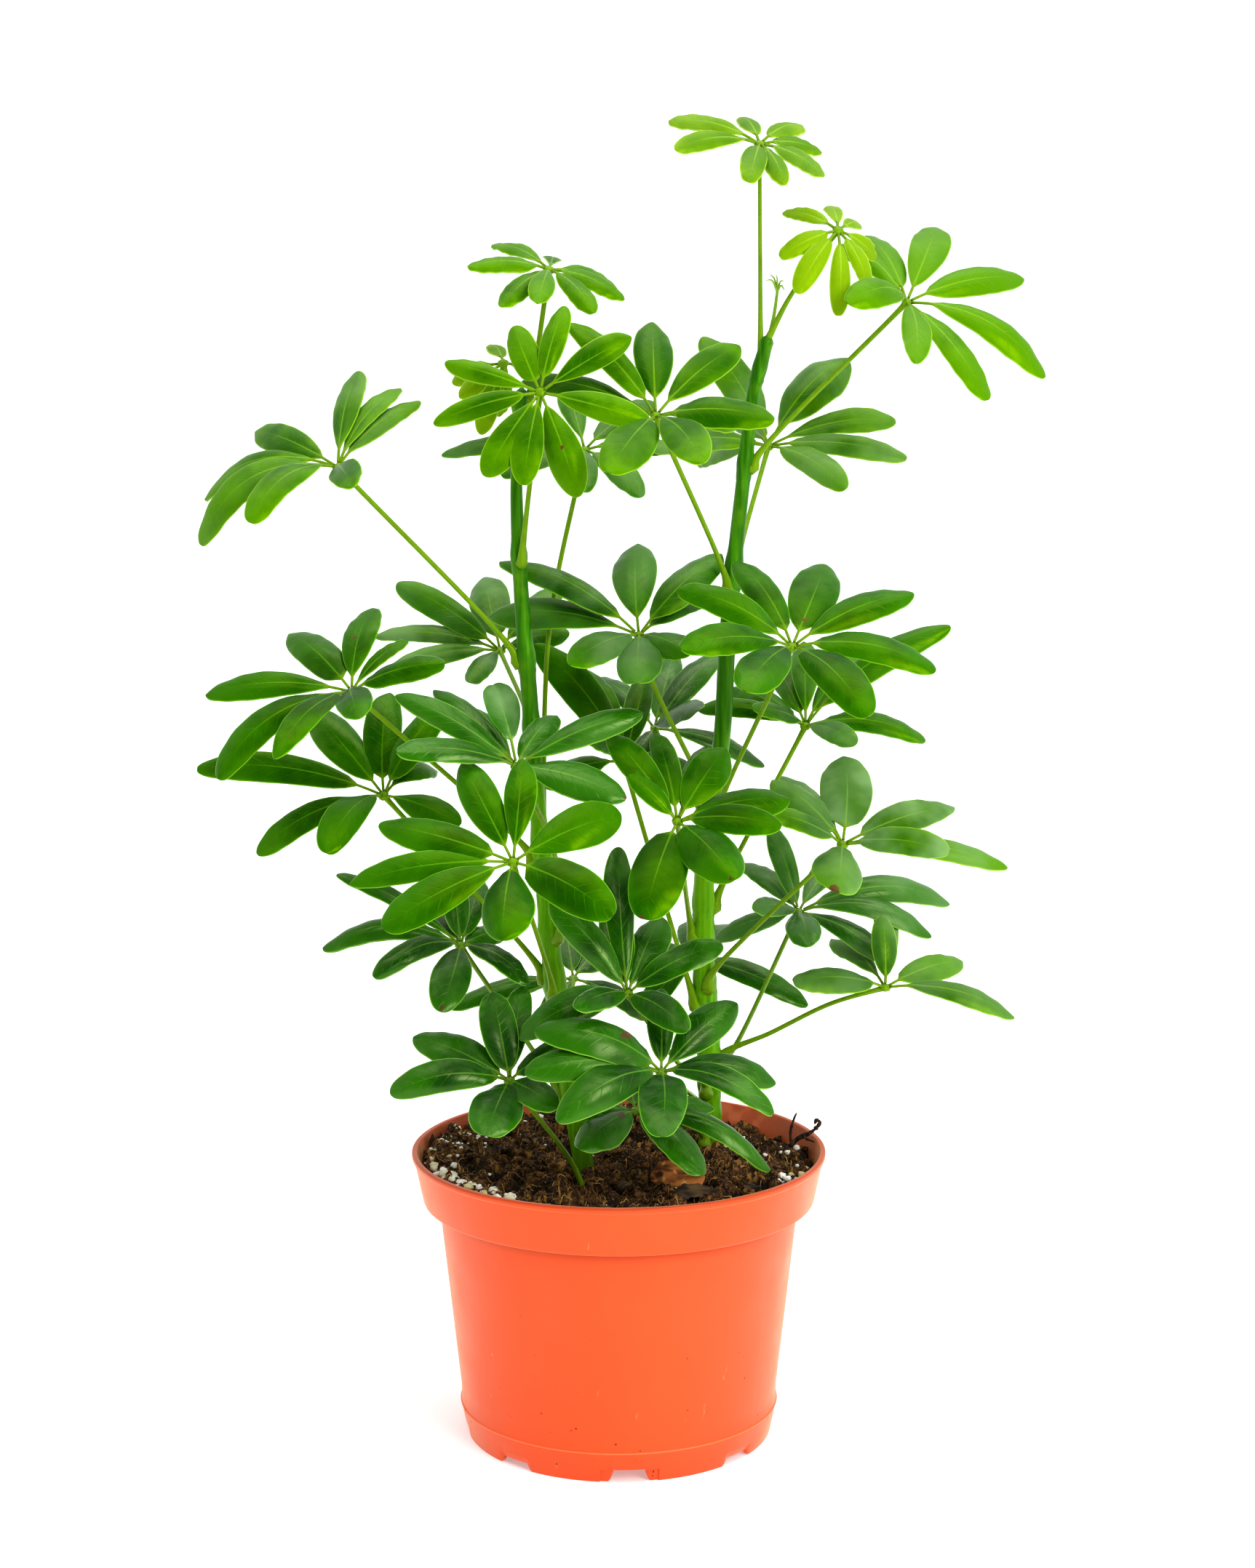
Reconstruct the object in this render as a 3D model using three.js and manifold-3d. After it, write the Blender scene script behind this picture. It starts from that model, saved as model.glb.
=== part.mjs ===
// A potted umbrella plant: two stems in a round nursery pot, and thirty-one whorled leaves of five to
// nine leaflets each. Millimetres, +Z up, the origin under the pot's axis on the surface it stands on.
import * as THREE from "three";
import { mergeVertices } from "three/addons/utils/BufferGeometryUtils.js";
import Module from "manifold-3d";

const wasm = await Module();
wasm.setup();

// ---------- Driving dimensions ----------

const GAP = 0.3; // between pieces that touch

// The pot.
const POT_HEIGHT = 115.4;
const RIM_RADIUS = 82.5;
const COLLAR_FOOT_RADIUS = 78;
const COLLAR_HEIGHT = 20;
const NECK_RADIUS = 71.9; // the body, right under the collar
const BODY_FOOT_RADIUS = 63.4;
const BODY_FOOT_HEIGHT = 18;
const MOULD_LINE_RADIUS = 63.8;
const MOULD_LINE_HEIGHT = 12.4;
const FOOT_RADIUS = 61.2;
const WALL = 1.6;
const FLOOR_UNDERSIDE = 6;
const FLOOR_TOP = 8;
const POT_SIDES = 32;
const NOTCHES = 8;
const NOTCH_WIDTH = 13;
const NOTCH_HEIGHT = 5;
const FIRST_NOTCH_DEGREES = 4; // to the right of the front
const DRAIN_HOLES = 4;
const DRAIN_RADIUS = 4.5;
const DRAIN_CIRCLE = 34;

// The soil.
const SOIL_HEIGHT = 108;
const SOIL_BUMP = 1.7;
const SOIL_HEAP = 3.5; // extra height at the left of the rim
const SOIL_SIDES = 26;
const SOIL_RINGS = [16, 34, 52, 67];
const GRAINS = 14;
const GRAIN_RADIUS = 2.1;
const ROOT_DEPTH_IN_SOIL = 25; // of the leaf that rises straight from the soil
const ROOT_HOLE_RADIUS = 2.4;

// The leaves.
const BLADE_THICKNESS = 0.7;
const STALKLET_WIDTH = 1.4; // where the blade begins
const ROOT_WIDTH = 0.8; // where it leaves the hub
const STALKLET_SHARE = 0.16; // of a leaflet's length, before its blade begins
const TURN_TO_LIGHT = 0.55; // how far a blade turns from its whorl's facing towards the front
const TURN_REACH = 0.2; // the share of a leaflet's length over which it does so
const PETIOLE_RADIUS = 1.05;
const PETIOLE_SIDES = 5;
const SHEATH_RADIUS = 1.9;
const SHEATH_LENGTH = 9;
const HUB_RADIUS = 2.9;
const HUB_HEIGHT = 4.2;
const ROOT_DEPTH = 1; // how far a leaflet's root is sunk in the hub
const SHORT_LEAFLET = 48; // a shorter one needs fewer stations
const USUAL_ARCH = 0.1; // how far a leaflet's middle stands off its chord, in chord lengths

// The stems.
const STEM_SIDES = 8;

// The eye that the plant's hubs and tips are placed from. A place is given by where it is seen on the
// upright plane through the pot's axis, x to the right and z up, and how far it lies behind that plane.
const EYE = new THREE.Vector3(3.5, -1067, 423.4);

// ---------- The plant: places read from the front, [x, z, back] ----------

// Each stem runs from inside the soil to its tip in reaches that grow thinner.
const STEMS = {
  left: [
    { radius: 3.9, path: [[-12.5, 75, -10], [-13.7, 105, -10], [-22, 155, -9], [-27.5, 203, -9]] },
    { radius: 3.2, path: [[-27.4, 200, -9], [-31.5, 250, -8], [-35, 300, -7], [-37.4, 332, -6]] },
    { radius: 2.3, path: [[-37.2, 329, -6], [-39.3, 380, -5], [-37, 416, -3]] },
  ],
  right: [
    { radius: 4.2, path: [[36.5, 85, 30], [36.5, 117, 30], [36, 150, 27], [33.8, 190, 23], [33.8, 228, 20]] },
    { radius: 3.4, path: [[33.8, 225, 20], [36.5, 252, 18], [40.5, 282, 16], [42.2, 318, 14], [43.5, 335, 13]] },
    { radius: 2.7, path: [[43.3, 332, 13], [48.9, 388, 10], [52, 414, 8], [57.5, 436, 5]] },
  ],
};

// The bud stands at the tip of the right stem.
const BUD = { radius: 0.9, path: [[55, 431, 6], [57.5, 441, 9.5], [59.5, 453, 9]] };

// A leaf hangs on a stem at a height, or stands in the soil on its own root. Each leaflet is
// [x, z, back, width, arch], its tip, counted back from the hub, its full width and its own arch.
const LEAVES = {
  leaf_crown: {
    tone: "young", stem: "right", height: 424, hub: [53.5, 507, 2],
    leaflets: [
      [19, 515.5, 8, 9], [21.5, 505, -20, 9], [46, 517, 26, 8], [69.5, 514, 22, 10],
      [77, 504, 12, 9], [78, 495, -10, 9], [63, 492, -22, 9], [49.5, 493, -28, 10],
    ],
  },
  leaf_young_tip: {
    tone: "young", stem: "right", height: 434, via: [[66, 451, 2]], hub: [83.5, 475, 0],
    leaflets: [
      [62.5, 481.5, 14, 8], [61.5, 465, -8, 9], [68, 451.5, -14, 11], [82, 444, -16, 10],
      [94, 452.5, -12, 9], [92, 477, 22, 8], [80, 484, 20, 8], [98, 464, 10, 8],
    ],
  },
  leaf_upper_right: {
    tone: "bright", stem: "right", height: 387.5, hub: [110, 448, 0],
    leaflets: [
      [121, 476, 36, 15.5], [154.6, 456.7, 22, 13], [163.5, 419.7, -8, 13, 0.16], [141.5, 411, -26, 12],
      [114, 425, -38, 11.5], [87, 448, -26, 14.5, 0.2], [84, 470, 30, 12], [94, 473, 38, 11],
    ],
  },
  leaf_upper_right_back: {
    tone: "bright", stem: "right", height: 348, hub: [57.7, 393.5, 53],
    leaflets: [
      [88, 427, 25, 20, 0.15], [106.5, 403, 12, 12], [111, 388.7, -8, 11], [87.6, 377, -28, 13],
      [32, 435, 10, 17], [31, 387, 34, 17], [13, 392, -6, 12], [45.5, 401, 42, 12],
    ],
  },
  leaf_upper_centre: {
    tone: "bright", stem: "right", height: 341, hub: [14.3, 405, -35],
    leaflets: [
      [13, 440.5, 32, 15.5], [46.5, 431.5, 26, 13.5], [60, 403.7, -6, 14.5], [45.7, 401, 20, 10],
      [32.6, 387, -38, 16], [-4, 383.5, -36, 18], [-18.7, 440, 12, 11], [-37, 418, 25, 11],
    ],
  },
  leaf_rosette: {
    tone: "bright", stem: "left", height: 351.5, hub: [-30, 414, -38],
    leaflets: [
      [-40, 439, 12, 11.5], [-20.5, 446.6, 14, 9.5], [5, 435, 10, 11], [12.3, 402.3, -2, 11],
      [-15.5, 374, -12, 14], [-36.6, 378.6, -16, 12], [-51.6, 382, -14, 13], [-71, 402, -4, 9],
      [-66.3, 425.4, 6, 8.5],
    ],
  },
  leaf_top_left: {
    tone: "bright", stem: "left", height: 414, hub: [-26.4, 460.3, 0],
    leaflets: [
      [-57.5, 461.4, -8, 10], [-48, 469.5, 20, 9], [-25, 464, 28, 7.5], [0, 452, 16, 9],
      [2.3, 449, -4, 10], [-9.5, 444, -20, 10], [-31, 447.7, -28, 10], [-45, 446.4, -22, 10],
    ],
  },
  leaf_young_left: {
    tone: "young", stem: "left", height: 400, hub: [-44, 425, 12],
    leaflets: [
      [-49, 432, 18, 7], [-63.5, 417.5, 8, 8], [-61, 412, -4, 8], [-53, 398, -6, 9],
      [-46, 405, 10, 7], [-33, 420, 16, 7],
    ],
  },
  leaf_upper_left: {
    tone: "bright", stem: "left", height: 312, hub: [-108, 385.5, -5],
    leaflets: [
      [-99.5, 422, 32, 11.5], [-76, 410, 22, 13.5], [-139.5, 399, 34, 13.5], [-159.5, 373, 16, 11, 0.2],
      [-161.5, 355.5, -8, 14.5, 0.24], [-142, 364, -30, 13.5, 0.18], [-102, 378, -34, 13],
    ],
  },
  leaf_upper_back: {
    tone: "mid", stem: "left", height: 240, via: [[-27, 322, 8]], hub: [-13, 392, 45],
    leaflets: [
      [-68, 390, 6, 9], [-45, 382, -14, 10], [-13, 376, -34, 11], [9, 374, -22, 12],
      [14, 410, 26, 11], [-20, 415, 36, 11], [20, 392, 12, 11],
    ],
  },
  leaf_centre: {
    tone: "mid", stem: "right", height: 258, via: [[13, 303, -6]], hub: [8, 320.5, -10],
    leaflets: [
      [7.5, 356, 44, 18], [40, 352, 30, 15.5], [-46, 349, 28, 12, 0.13], [-50, 328, 23, 16],
      [-19, 309, -30, 15], [7, 302, -38, 17.5], [28, 313, -22, 14], [36, 334, 34, 10],
    ],
  },
  leaf_right: {
    tone: "mid", stem: "right", height: 250, hub: [67.5, 316, -42],
    leaflets: [
      [45, 349, 36, 13], [80, 348, 40, 19], [114.4, 336.8, 22, 14], [123.6, 306.8, -4, 14, 0.12],
      [97.2, 288.5, -34, 17.5, 0.13], [49, 298.8, -40, 18], [24, 315.5, -22, 14.5], [23, 338.3, 12, 13],
    ],
  },
  leaf_right_back: {
    tone: "mid", stem: "right", height: 215, hub: [73, 285, 40],
    leaflets: [
      [31, 291.5, 10, 9], [44, 300, 30, 12], [60, 310, 42, 12], [72, 318, 30, 12], [98, 314, 30, 12],
      [129, 324, 8, 13], [120, 279, -6, 11, 0.14], [92.6, 277.5, -28, 11], [52.3, 292, -14, 9],
    ],
  },
  leaf_left: {
    tone: "mid", stem: "left", height: 233, hub: [-104, 298.5, -10],
    leaflets: [
      [-161, 297, 8, 12.5], [-157, 264, -14, 14, 0.16], [-134.5, 272, -36, 12.5, 0.14],
      [-101, 288, -38, 14.5, 0.14], [-67.5, 309.5, -6, 11], [-82, 318.5, 16, 6.5],
      [-95.5, 331, 32, 14.5], [-128, 321, 34, 15.5],
    ],
  },
  leaf_left_low: {
    tone: "mid", stem: "left", height: 186, hub: [-92, 257.5, 0],
    leaflets: [
      [-165, 268, 10, 13, 0.1], [-119, 291, 28, 16.5], [-89, 298, 30, 15.5], [-68, 293, 20, 13],
      [-71, 267, 26, 12, 0.2], [-142, 234, -6, 12, 0.18], [-115, 234.5, -38, 15, 0.16],
      [-62, 246, -20, 13],
    ],
  },
  leaf_left_back: {
    tone: "mid", stem: "left", height: 284, hub: [-46, 314.5, 55],
    leaflets: [
      [-86, 340.5, 8, 13], [-95, 320, -4, 9], [-90, 306, -16, 10], [-52, 343, 36, 17.5],
      [-58, 302, -26, 10], [-22, 340, 24, 12], [-19, 321, -8, 12],
    ],
  },
  leaf_left_centre: {
    tone: "deep", stem: "left", height: 203, via: [[-21.5, 216, -14], [-27, 240, -22]], hub: [-40, 269, -42],
    leaflets: [
      [9.5, 290, 8, 12], [3, 256, -12, 15.5], [-24, 289, 24, 11], [-50, 301, 30, 13],
      [-55, 300, 12, 14.5], [-87, 297, 14, 11], [-87, 275, -14, 12], [-68, 274, 32, 7.5],
      [-72, 299, 32, 9],
    ],
  },
  leaf_front_left: {
    tone: "mid", stem: "left", height: 180, hub: [-41.5, 231, -72],
    leaflets: [
      [-61, 270.5, 26, 14.5], [-37.5, 272, 20, 12.5], [1, 250, 14, 17.5], [-2, 209.5, -20, 18.5],
      [-46, 199.5, -32, 20], [-93, 204.5, -16, 17], [-106, 222, 4, 12], [-94, 246, 16, 15],
    ],
  },
  leaf_front_right: {
    tone: "mid", stem: "right", height: 203, hub: [23, 247, -50],
    leaflets: [
      [-4, 282, 20, 13], [14, 282, 32, 10], [34, 277, 38, 11], [42, 276, 22, 16.5], [67, 256, 12, 14.5],
      [64, 245, -12, 13], [46, 224, -32, 20], [10, 208, -30, 21], [4, 266, 5, 9],
    ],
  },
  leaf_right_middle: {
    tone: "bright", stem: "right", height: 184, hub: [88, 238, -20],
    leaflets: [
      [88, 273, 36, 21], [60, 263.5, 14, 14.5], [64, 265, 30, 10], [57, 251, -6, 10],
      [86.7, 219, -36, 20], [130, 235, -12, 13], [153, 228.5, 6, 10], [131.8, 252.7, 22, 14.5],
    ],
  },
  leaf_right_low_back: {
    tone: "deep", stem: "right", height: 146, via: [[47, 158, 34]], hub: [71, 211, 38],
    leaflets: [
      [60, 245, 18, 10], [48.6, 230.5, 28, 11], [38, 200, 8, 10], [53, 212, -20, 10], [75, 197, -32, 14.5],
      [105, 192, -14, 11], [123.5, 200.9, -2, 11, 0.18], [130.5, 214, 18, 13, 0.18],
      [88, 232, 42, 11],
    ],
  },
  leaf_right_low: {
    tone: "bright", stem: "right", height: 152, via: [[60, 162, 22], [84, 174, 16]], hub: [105.5, 180.5, 12],
    leaflets: [
      [69, 183, -14, 13], [104, 209.5, 10, 11], [104, 213.5, 34, 10], [136, 191, 26, 13],
      [157, 168, -4, 11, 0.13], [84, 200, 36, 11],
    ],
  },
  leaf_lower_left: {
    tone: "deep", stem: "left", height: 138, hub: [-62.5, 197.5, -12],
    leaflets: [
      [-117, 196, -4, 11, 0.2], [-97, 184.5, -26, 10, 0.2], [-70.4, 170.5, -34, 15.5, 0.14],
      [-36, 182, -14, 10, 0.16], [-45, 203, 16, 10], [-54, 224, 32, 10], [-65, 225, 22, 11],
      [-78, 214, 36, 10], [-111, 226, 16, 8],
    ],
  },
  leaf_bottom_left: {
    tone: "deep", root: [-15, 100, -26], hub: [-43.5, 142.5, -48],
    leaflets: [
      [-50, 178.5, 16, 14.5], [-81.6, 160.3, 16, 15.5], [-91, 137, -8, 13.5, 0.2], [-53, 120, -30, 20],
      [-24.5, 131, -20, 13], [-13, 161, 10, 10], [-38, 181, 24, 11],
    ],
  },
  leaf_front_low: {
    tone: "deep", stem: "right", height: 129, hub: [17, 146, -58],
    leaflets: [
      [-33.6, 163.3, -4, 17, 0.2], [-37.5, 145.5, -14, 15.5, 0.16], [-24.6, 125.5, -28, 17, 0.2],
      [17.5, 119.5, -38, 18.5, 0.12], [61.7, 128.7, -22, 11, 0.18], [62.5, 141.3, -2, 13, 0.2],
      [47, 174, 22, 15.5], [17, 180, 30, 11],
    ],
  },
  leaf_centre_low: {
    tone: "deep", stem: "right", height: 141, via: [[26, 147, -8]], hub: [3.5, 178, -38],
    leaflets: [
      [-27, 214.5, 6, 13], [-4, 213, 28, 13], [16.5, 209, 24, 15.5], [41, 198, 6, 13],
      [27.6, 162.7, -26, 13], [-17.5, 172, -30, 11], [-39.5, 159.5, -8, 15.5, 0.18], [0, 237, 30, 12],
    ],
  },
  leaf_bottom_front: {
    tone: "deep", stem: "right", height: 120, hub: [6.5, 130, -30],
    leaflets: [
      [-16, 114.5, -28, 16.5], [33.4, 103.6, -30, 15.5, 0.13], [60.6, 105.4, -6, 11, 0.16],
      [-25, 127, -8, 10], [20, 142, 38, 9.5], [0, 148, 34, 11], [38, 131, 14, 10],
    ],
  },
  leaf_back_low: {
    tone: "deep", stem: "left", height: 150, hub: [-18, 184, 48],
    leaflets: [
      [-67, 172, -10, 10], [-22, 206, 34, 13], [-2, 198, 30, 13], [12, 168, 10, 11],
      [-30, 162, -26, 12], [-46, 176, 28, 11],
    ],
  },
  leaf_back_right_low: {
    tone: "deep", stem: "right", height: 160, hub: [30, 192, 66],
    leaflets: [
      [75, 173, -14, 12], [27, 207, 30, 12], [44, 206, 34, 11], [10, 172, -10, 11], [5, 196, 26, 11],
    ],
  },
  leaf_centre_back: {
    tone: "mid", stem: "right", height: 176, via: [[21, 205, 18], [10, 243, 18]], hub: [2, 271, 18],
    leaflets: [
      [-33, 317, 8, 16.5], [-14, 307, 30, 13], [11, 306, 32, 11], [-14, 281, -30, 11],
      [30, 268, 20, 12], [-30, 262, 14, 12],
    ],
  },
  leaf_right_centre_back: {
    tone: "deep", stem: "right", height: 246, hub: [14, 284, 56],
    leaflets: [
      [22, 314, 36, 12], [40, 314, 28, 13], [31, 291, -32, 16.5], [57, 269, 10, 10], [-8, 304, 34, 11],
      [4, 267, -20, 10],
    ],
  },
};

// ---------- Colours ----------

const COLOURS = {
  pot: 0xe0683c,
  soil: 0x2c2119,
  stem: 0x4f8a2a,
  young: 0x6cab1f,
  bright: 0x4a9423,
  mid: 0x2f7a1c,
  deep: 0x256326,
  bark: 0x8a4f2c,
  twig: 0x3a2a20,
};

// ---------- Helpers ----------

// The place at distance `back` behind the axis plane that is seen at (x, z) on it.
function seen(x, z, back) {
  const reach = 1 - back / EYE.y;
  return new THREE.Vector3(EYE.x + (x - EYE.x) * reach, back, EYE.z + (z - EYE.z) * reach);
}

// A closed geometry as a solid that can be joined and cut.
function solid(geometry) {
  const bare = geometry.clone();
  bare.deleteAttribute("normal");
  bare.deleteAttribute("uv");
  const merged = mergeVertices(bare, 1e-4);
  const corners = Array.from(merged.index.array);
  const triVerts = [];
  for (let i = 0; i < corners.length; i += 3) {
    const [a, b, c] = corners.slice(i, i + 3);
    if (a !== b && b !== c && c !== a) triVerts.push(a, b, c);
  }
  const vertProperties = merged.attributes.position.array;
  return new wasm.Manifold(
    new wasm.Mesh({ numProp: 3, vertProperties, triVerts: new Uint32Array(triVerts) }),
  );
}

// Several solids joined into one.
function fused(solids) {
  return solids.reduce((whole, piece) => whole.add(piece));
}

// The main body of a solid, without the scraps that a cut has left.
function mainBody(shape) {
  return shape.decompose().reduce((best, body) => (body.volume() > best.volume() ? body : best));
}

// A named mesh of a solid in one colour.
function meshOf(name, shape, colour, roughness) {
  const { numProp, vertProperties, triVerts } = shape.getMesh();
  const position = new Float32Array((vertProperties.length / numProp) * 3);
  for (let i = 0; i < position.length / 3; i++) {
    position.set(vertProperties.subarray(i * numProp, i * numProp + 3), i * 3);
  }
  const geometry = new THREE.BufferGeometry()
    .setAttribute("position", new THREE.BufferAttribute(position, 3))
    .setIndex(new THREE.BufferAttribute(triVerts, 1));
  geometry.computeVertexNormals();
  const material = new THREE.MeshStandardMaterial({ color: colour, roughness, metalness: 0 });
  const mesh = new THREE.Mesh(geometry, material);
  mesh.name = name;
  return mesh;
}

// A bar with a polygon for its section and flat ends, along a smooth path.
function bar(path, radius, sides, steps) {
  const ring = new THREE.Shape();
  for (let i = 0; i < sides; i++) {
    const turn = (i / sides) * 2 * Math.PI;
    const corner = [radius * Math.cos(turn), radius * Math.sin(turn)];
    if (i === 0) ring.moveTo(...corner);
    else ring.lineTo(...corner);
  }
  ring.closePath();
  return solid(new THREE.ExtrudeGeometry(ring, { steps, extrudePath: path }));
}

// A small faceted ball.
function ball(centre, radius) {
  return solid(new THREE.IcosahedronGeometry(radius, 0).translate(centre.x, centre.y, centre.z));
}

// The upright knob that a whorl grows from.
function knob(centre) {
  const drum = new THREE.CylinderGeometry(HUB_RADIUS, HUB_RADIUS, HUB_HEIGHT, 6);
  return solid(drum.rotateX(Math.PI / 2).translate(centre.x, centre.y, centre.z));
}

// Repeatable random numbers between 0 and 1.
function randomFrom(seed) {
  let state = seed;
  return () => {
    state = (state * 16807) % 2147483647;
    return state / 2147483647;
  };
}

// ---------- The pot ----------

// A profile of [radius, height] corners turned round the upright axis.
function turned(profile, sides) {
  const corners = profile.map(([radius, height]) => new THREE.Vector2(radius, height));
  return solid(new THREE.LatheGeometry(corners, sides).rotateX(Math.PI / 2));
}

// A notch through the foot ring: a bar with sloping cheeks that points outwards.
function notch(degrees) {
  const half = NOTCH_WIDTH / 2;
  const cheek = 1.2;
  const section = new THREE.Shape();
  section.moveTo(-half - cheek, -1);
  section.lineTo(half + cheek, -1);
  section.lineTo(half, NOTCH_HEIGHT);
  section.lineTo(-half, NOTCH_HEIGHT);
  section.closePath();
  const cut = new THREE.ExtrudeGeometry(section, { depth: 12, bevelEnabled: false });
  cut.rotateX(Math.PI / 2); // the bar's length now points forward, its height up
  cut.translate(0, -FOOT_RADIUS + 6, 0);
  cut.rotateZ(THREE.MathUtils.degToRad(degrees));
  return solid(cut);
}

const INNER_NECK_RADIUS = NECK_RADIUS - WALL;
const INNER_FOOT_RADIUS = BODY_FOOT_RADIUS - WALL;
const COLLAR_FOOT_HEIGHT = POT_HEIGHT - COLLAR_HEIGHT;

function pot() {
  const shell = turned(
    [
      [0, FLOOR_UNDERSIDE],
      [FOOT_RADIUS - WALL, FLOOR_UNDERSIDE],
      [FOOT_RADIUS - WALL, 0],
      [FOOT_RADIUS, 0],
      [MOULD_LINE_RADIUS, MOULD_LINE_HEIGHT],
      [BODY_FOOT_RADIUS, BODY_FOOT_HEIGHT],
      [NECK_RADIUS, COLLAR_FOOT_HEIGHT],
      [COLLAR_FOOT_RADIUS - 1.2, COLLAR_FOOT_HEIGHT],
      [COLLAR_FOOT_RADIUS + 0.2, COLLAR_FOOT_HEIGHT + 1.4],
      [RIM_RADIUS - 0.9, POT_HEIGHT - 2],
      [RIM_RADIUS, POT_HEIGHT - 1.4],
      [RIM_RADIUS, POT_HEIGHT],
      [RIM_RADIUS - WALL - 0.6, POT_HEIGHT],
      [COLLAR_FOOT_RADIUS - WALL, COLLAR_FOOT_HEIGHT + WALL],
      [INNER_NECK_RADIUS, COLLAR_FOOT_HEIGHT + WALL],
      [INNER_FOOT_RADIUS, BODY_FOOT_HEIGHT],
      [INNER_FOOT_RADIUS - 1.5, FLOOR_TOP],
      [0, FLOOR_TOP],
    ],
    POT_SIDES,
  );
  const cuts = [];
  for (let i = 0; i < NOTCHES; i++) cuts.push(notch(FIRST_NOTCH_DEGREES + (i * 360) / NOTCHES));
  for (let i = 0; i < DRAIN_HOLES; i++) {
    const turn = ((i + 0.5) / DRAIN_HOLES) * 2 * Math.PI;
    const drain = new THREE.CylinderGeometry(DRAIN_RADIUS, DRAIN_RADIUS, FLOOR_TOP, 8);
    drain.rotateX(Math.PI / 2);
    drain.translate(DRAIN_CIRCLE * Math.cos(turn), DRAIN_CIRCLE * Math.sin(turn), FLOOR_TOP);
    cuts.push(solid(drain));
  }
  return shell.subtract(fused(cuts));
}

// ---------- The soil ----------

// The height of the soil's surface: low waves, and a heap that leans on the left of the rim.
function soilHeight(x, y) {
  const waves = Math.sin(x / 9 + 1.3) * Math.cos(y / 11) + 0.6 * Math.sin((x + y) / 6);
  const heap = Math.max(0, -x / RIM_RADIUS) ** 2 * SOIL_HEAP;
  return SOIL_HEIGHT + SOIL_BUMP * waves + heap;
}

// The pot's inner radius at a height.
function innerRadius(height) {
  if (height > COLLAR_FOOT_HEIGHT + WALL) {
    const share = (height - COLLAR_FOOT_HEIGHT - WALL) / (COLLAR_HEIGHT - WALL);
    return THREE.MathUtils.lerp(COLLAR_FOOT_RADIUS - WALL, RIM_RADIUS - WALL - 0.6, share);
  }
  const share = (height - BODY_FOOT_HEIGHT) / (COLLAR_FOOT_HEIGHT + WALL - BODY_FOOT_HEIGHT);
  return THREE.MathUtils.lerp(INNER_FOOT_RADIUS, INNER_NECK_RADIUS, share);
}

// Soil up to its bumpy surface: rings of points on top, then rings down the wall to the floor.
function soilBody() {
  const flat = Math.cos(Math.PI / POT_SIDES); // keeps the soil's corners inside the pot's flat sides
  const ledge = COLLAR_FOOT_HEIGHT + WALL;
  const rings = SOIL_RINGS.map((radius) => ({ radius, top: true }));
  rings.push({ radius: (innerRadius(SOIL_HEIGHT) - GAP) * flat - 0.3, top: true });
  rings.push({ radius: (COLLAR_FOOT_RADIUS - WALL - GAP) * flat, height: ledge + GAP });
  rings.push({ radius: (INNER_NECK_RADIUS - GAP) * flat, height: ledge + GAP });
  rings.push({ radius: (INNER_NECK_RADIUS - GAP) * flat, height: ledge - GAP });
  rings.push({ radius: (INNER_FOOT_RADIUS - GAP) * flat, height: BODY_FOOT_HEIGHT });
  rings.push({ radius: (INNER_FOOT_RADIUS - 1.5 - GAP) * flat, height: FLOOR_TOP + GAP });
  const position = [0, 0, soilHeight(0, 0)];
  for (const { radius, top, height } of rings) {
    for (let i = 0; i < SOIL_SIDES; i++) {
      const turn = (i / SOIL_SIDES) * 2 * Math.PI;
      const x = radius * Math.cos(turn);
      const y = radius * Math.sin(turn);
      position.push(x, y, top ? soilHeight(x, y) : height);
    }
  }
  position.push(0, 0, FLOOR_TOP + GAP);
  const last = position.length / 3 - 1;
  const index = [];
  const at = (ring, i) => 1 + ring * SOIL_SIDES + (i % SOIL_SIDES);
  for (let i = 0; i < SOIL_SIDES; i++) {
    index.push(0, at(0, i), at(0, i + 1));
    for (let ring = 0; ring + 1 < rings.length; ring++) {
      index.push(at(ring, i), at(ring + 1, i), at(ring + 1, i + 1));
      index.push(at(ring, i), at(ring + 1, i + 1), at(ring, i + 1));
    }
    index.push(last, at(rings.length - 1, i + 1), at(rings.length - 1, i));
  }
  const geometry = new THREE.BufferGeometry()
    .setAttribute("position", new THREE.Float32BufferAttribute(position, 3))
    .setIndex(index);
  return solid(geometry);
}

// White grains half sunk in the surface, most of them at the left and the front.
function grains() {
  const random = randomFrom(7415);
  const found = [];
  while (found.length < GRAINS) {
    const turn = Math.PI * (0.75 + 1.15 * random());
    const radius = 74 * Math.sqrt(0.2 + 0.8 * random());
    const size = GRAIN_RADIUS * (0.7 + 0.6 * random());
    const x = radius * Math.cos(turn);
    const y = radius * Math.sin(turn);
    found.push(ball(new THREE.Vector3(x, y, soilHeight(x, y) + 0.2), size));
  }
  return found;
}

// ---------- Stems ----------

// A stem's reaches as one solid. A hole for it is the same, grown all round and at its foot.
function stem(reaches, grow) {
  return fused(
    reaches.map(({ radius, path }) => {
      const places = path.map((place) => seen(...place));
      places[0].z -= grow;
      return bar(new THREE.CatmullRomCurve3(places), radius + grow, STEM_SIDES, path.length + 1);
    }),
  );
}

// Where the axis of a stem is seen at a height.
function stemPlace(reaches, height) {
  const places = reaches.flatMap(({ path }) => path).sort((a, b) => a[1] - b[1]);
  const above = Math.max(1, places.findIndex((place) => place[1] >= height));
  const [low, high] = [places[above - 1], places[above]];
  const share = (height - low[1]) / (high[1] - low[1]);
  return seen(...low.map((value, i) => THREE.MathUtils.lerp(value, high[i], share)));
}

// ---------- Leaves ----------

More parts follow.
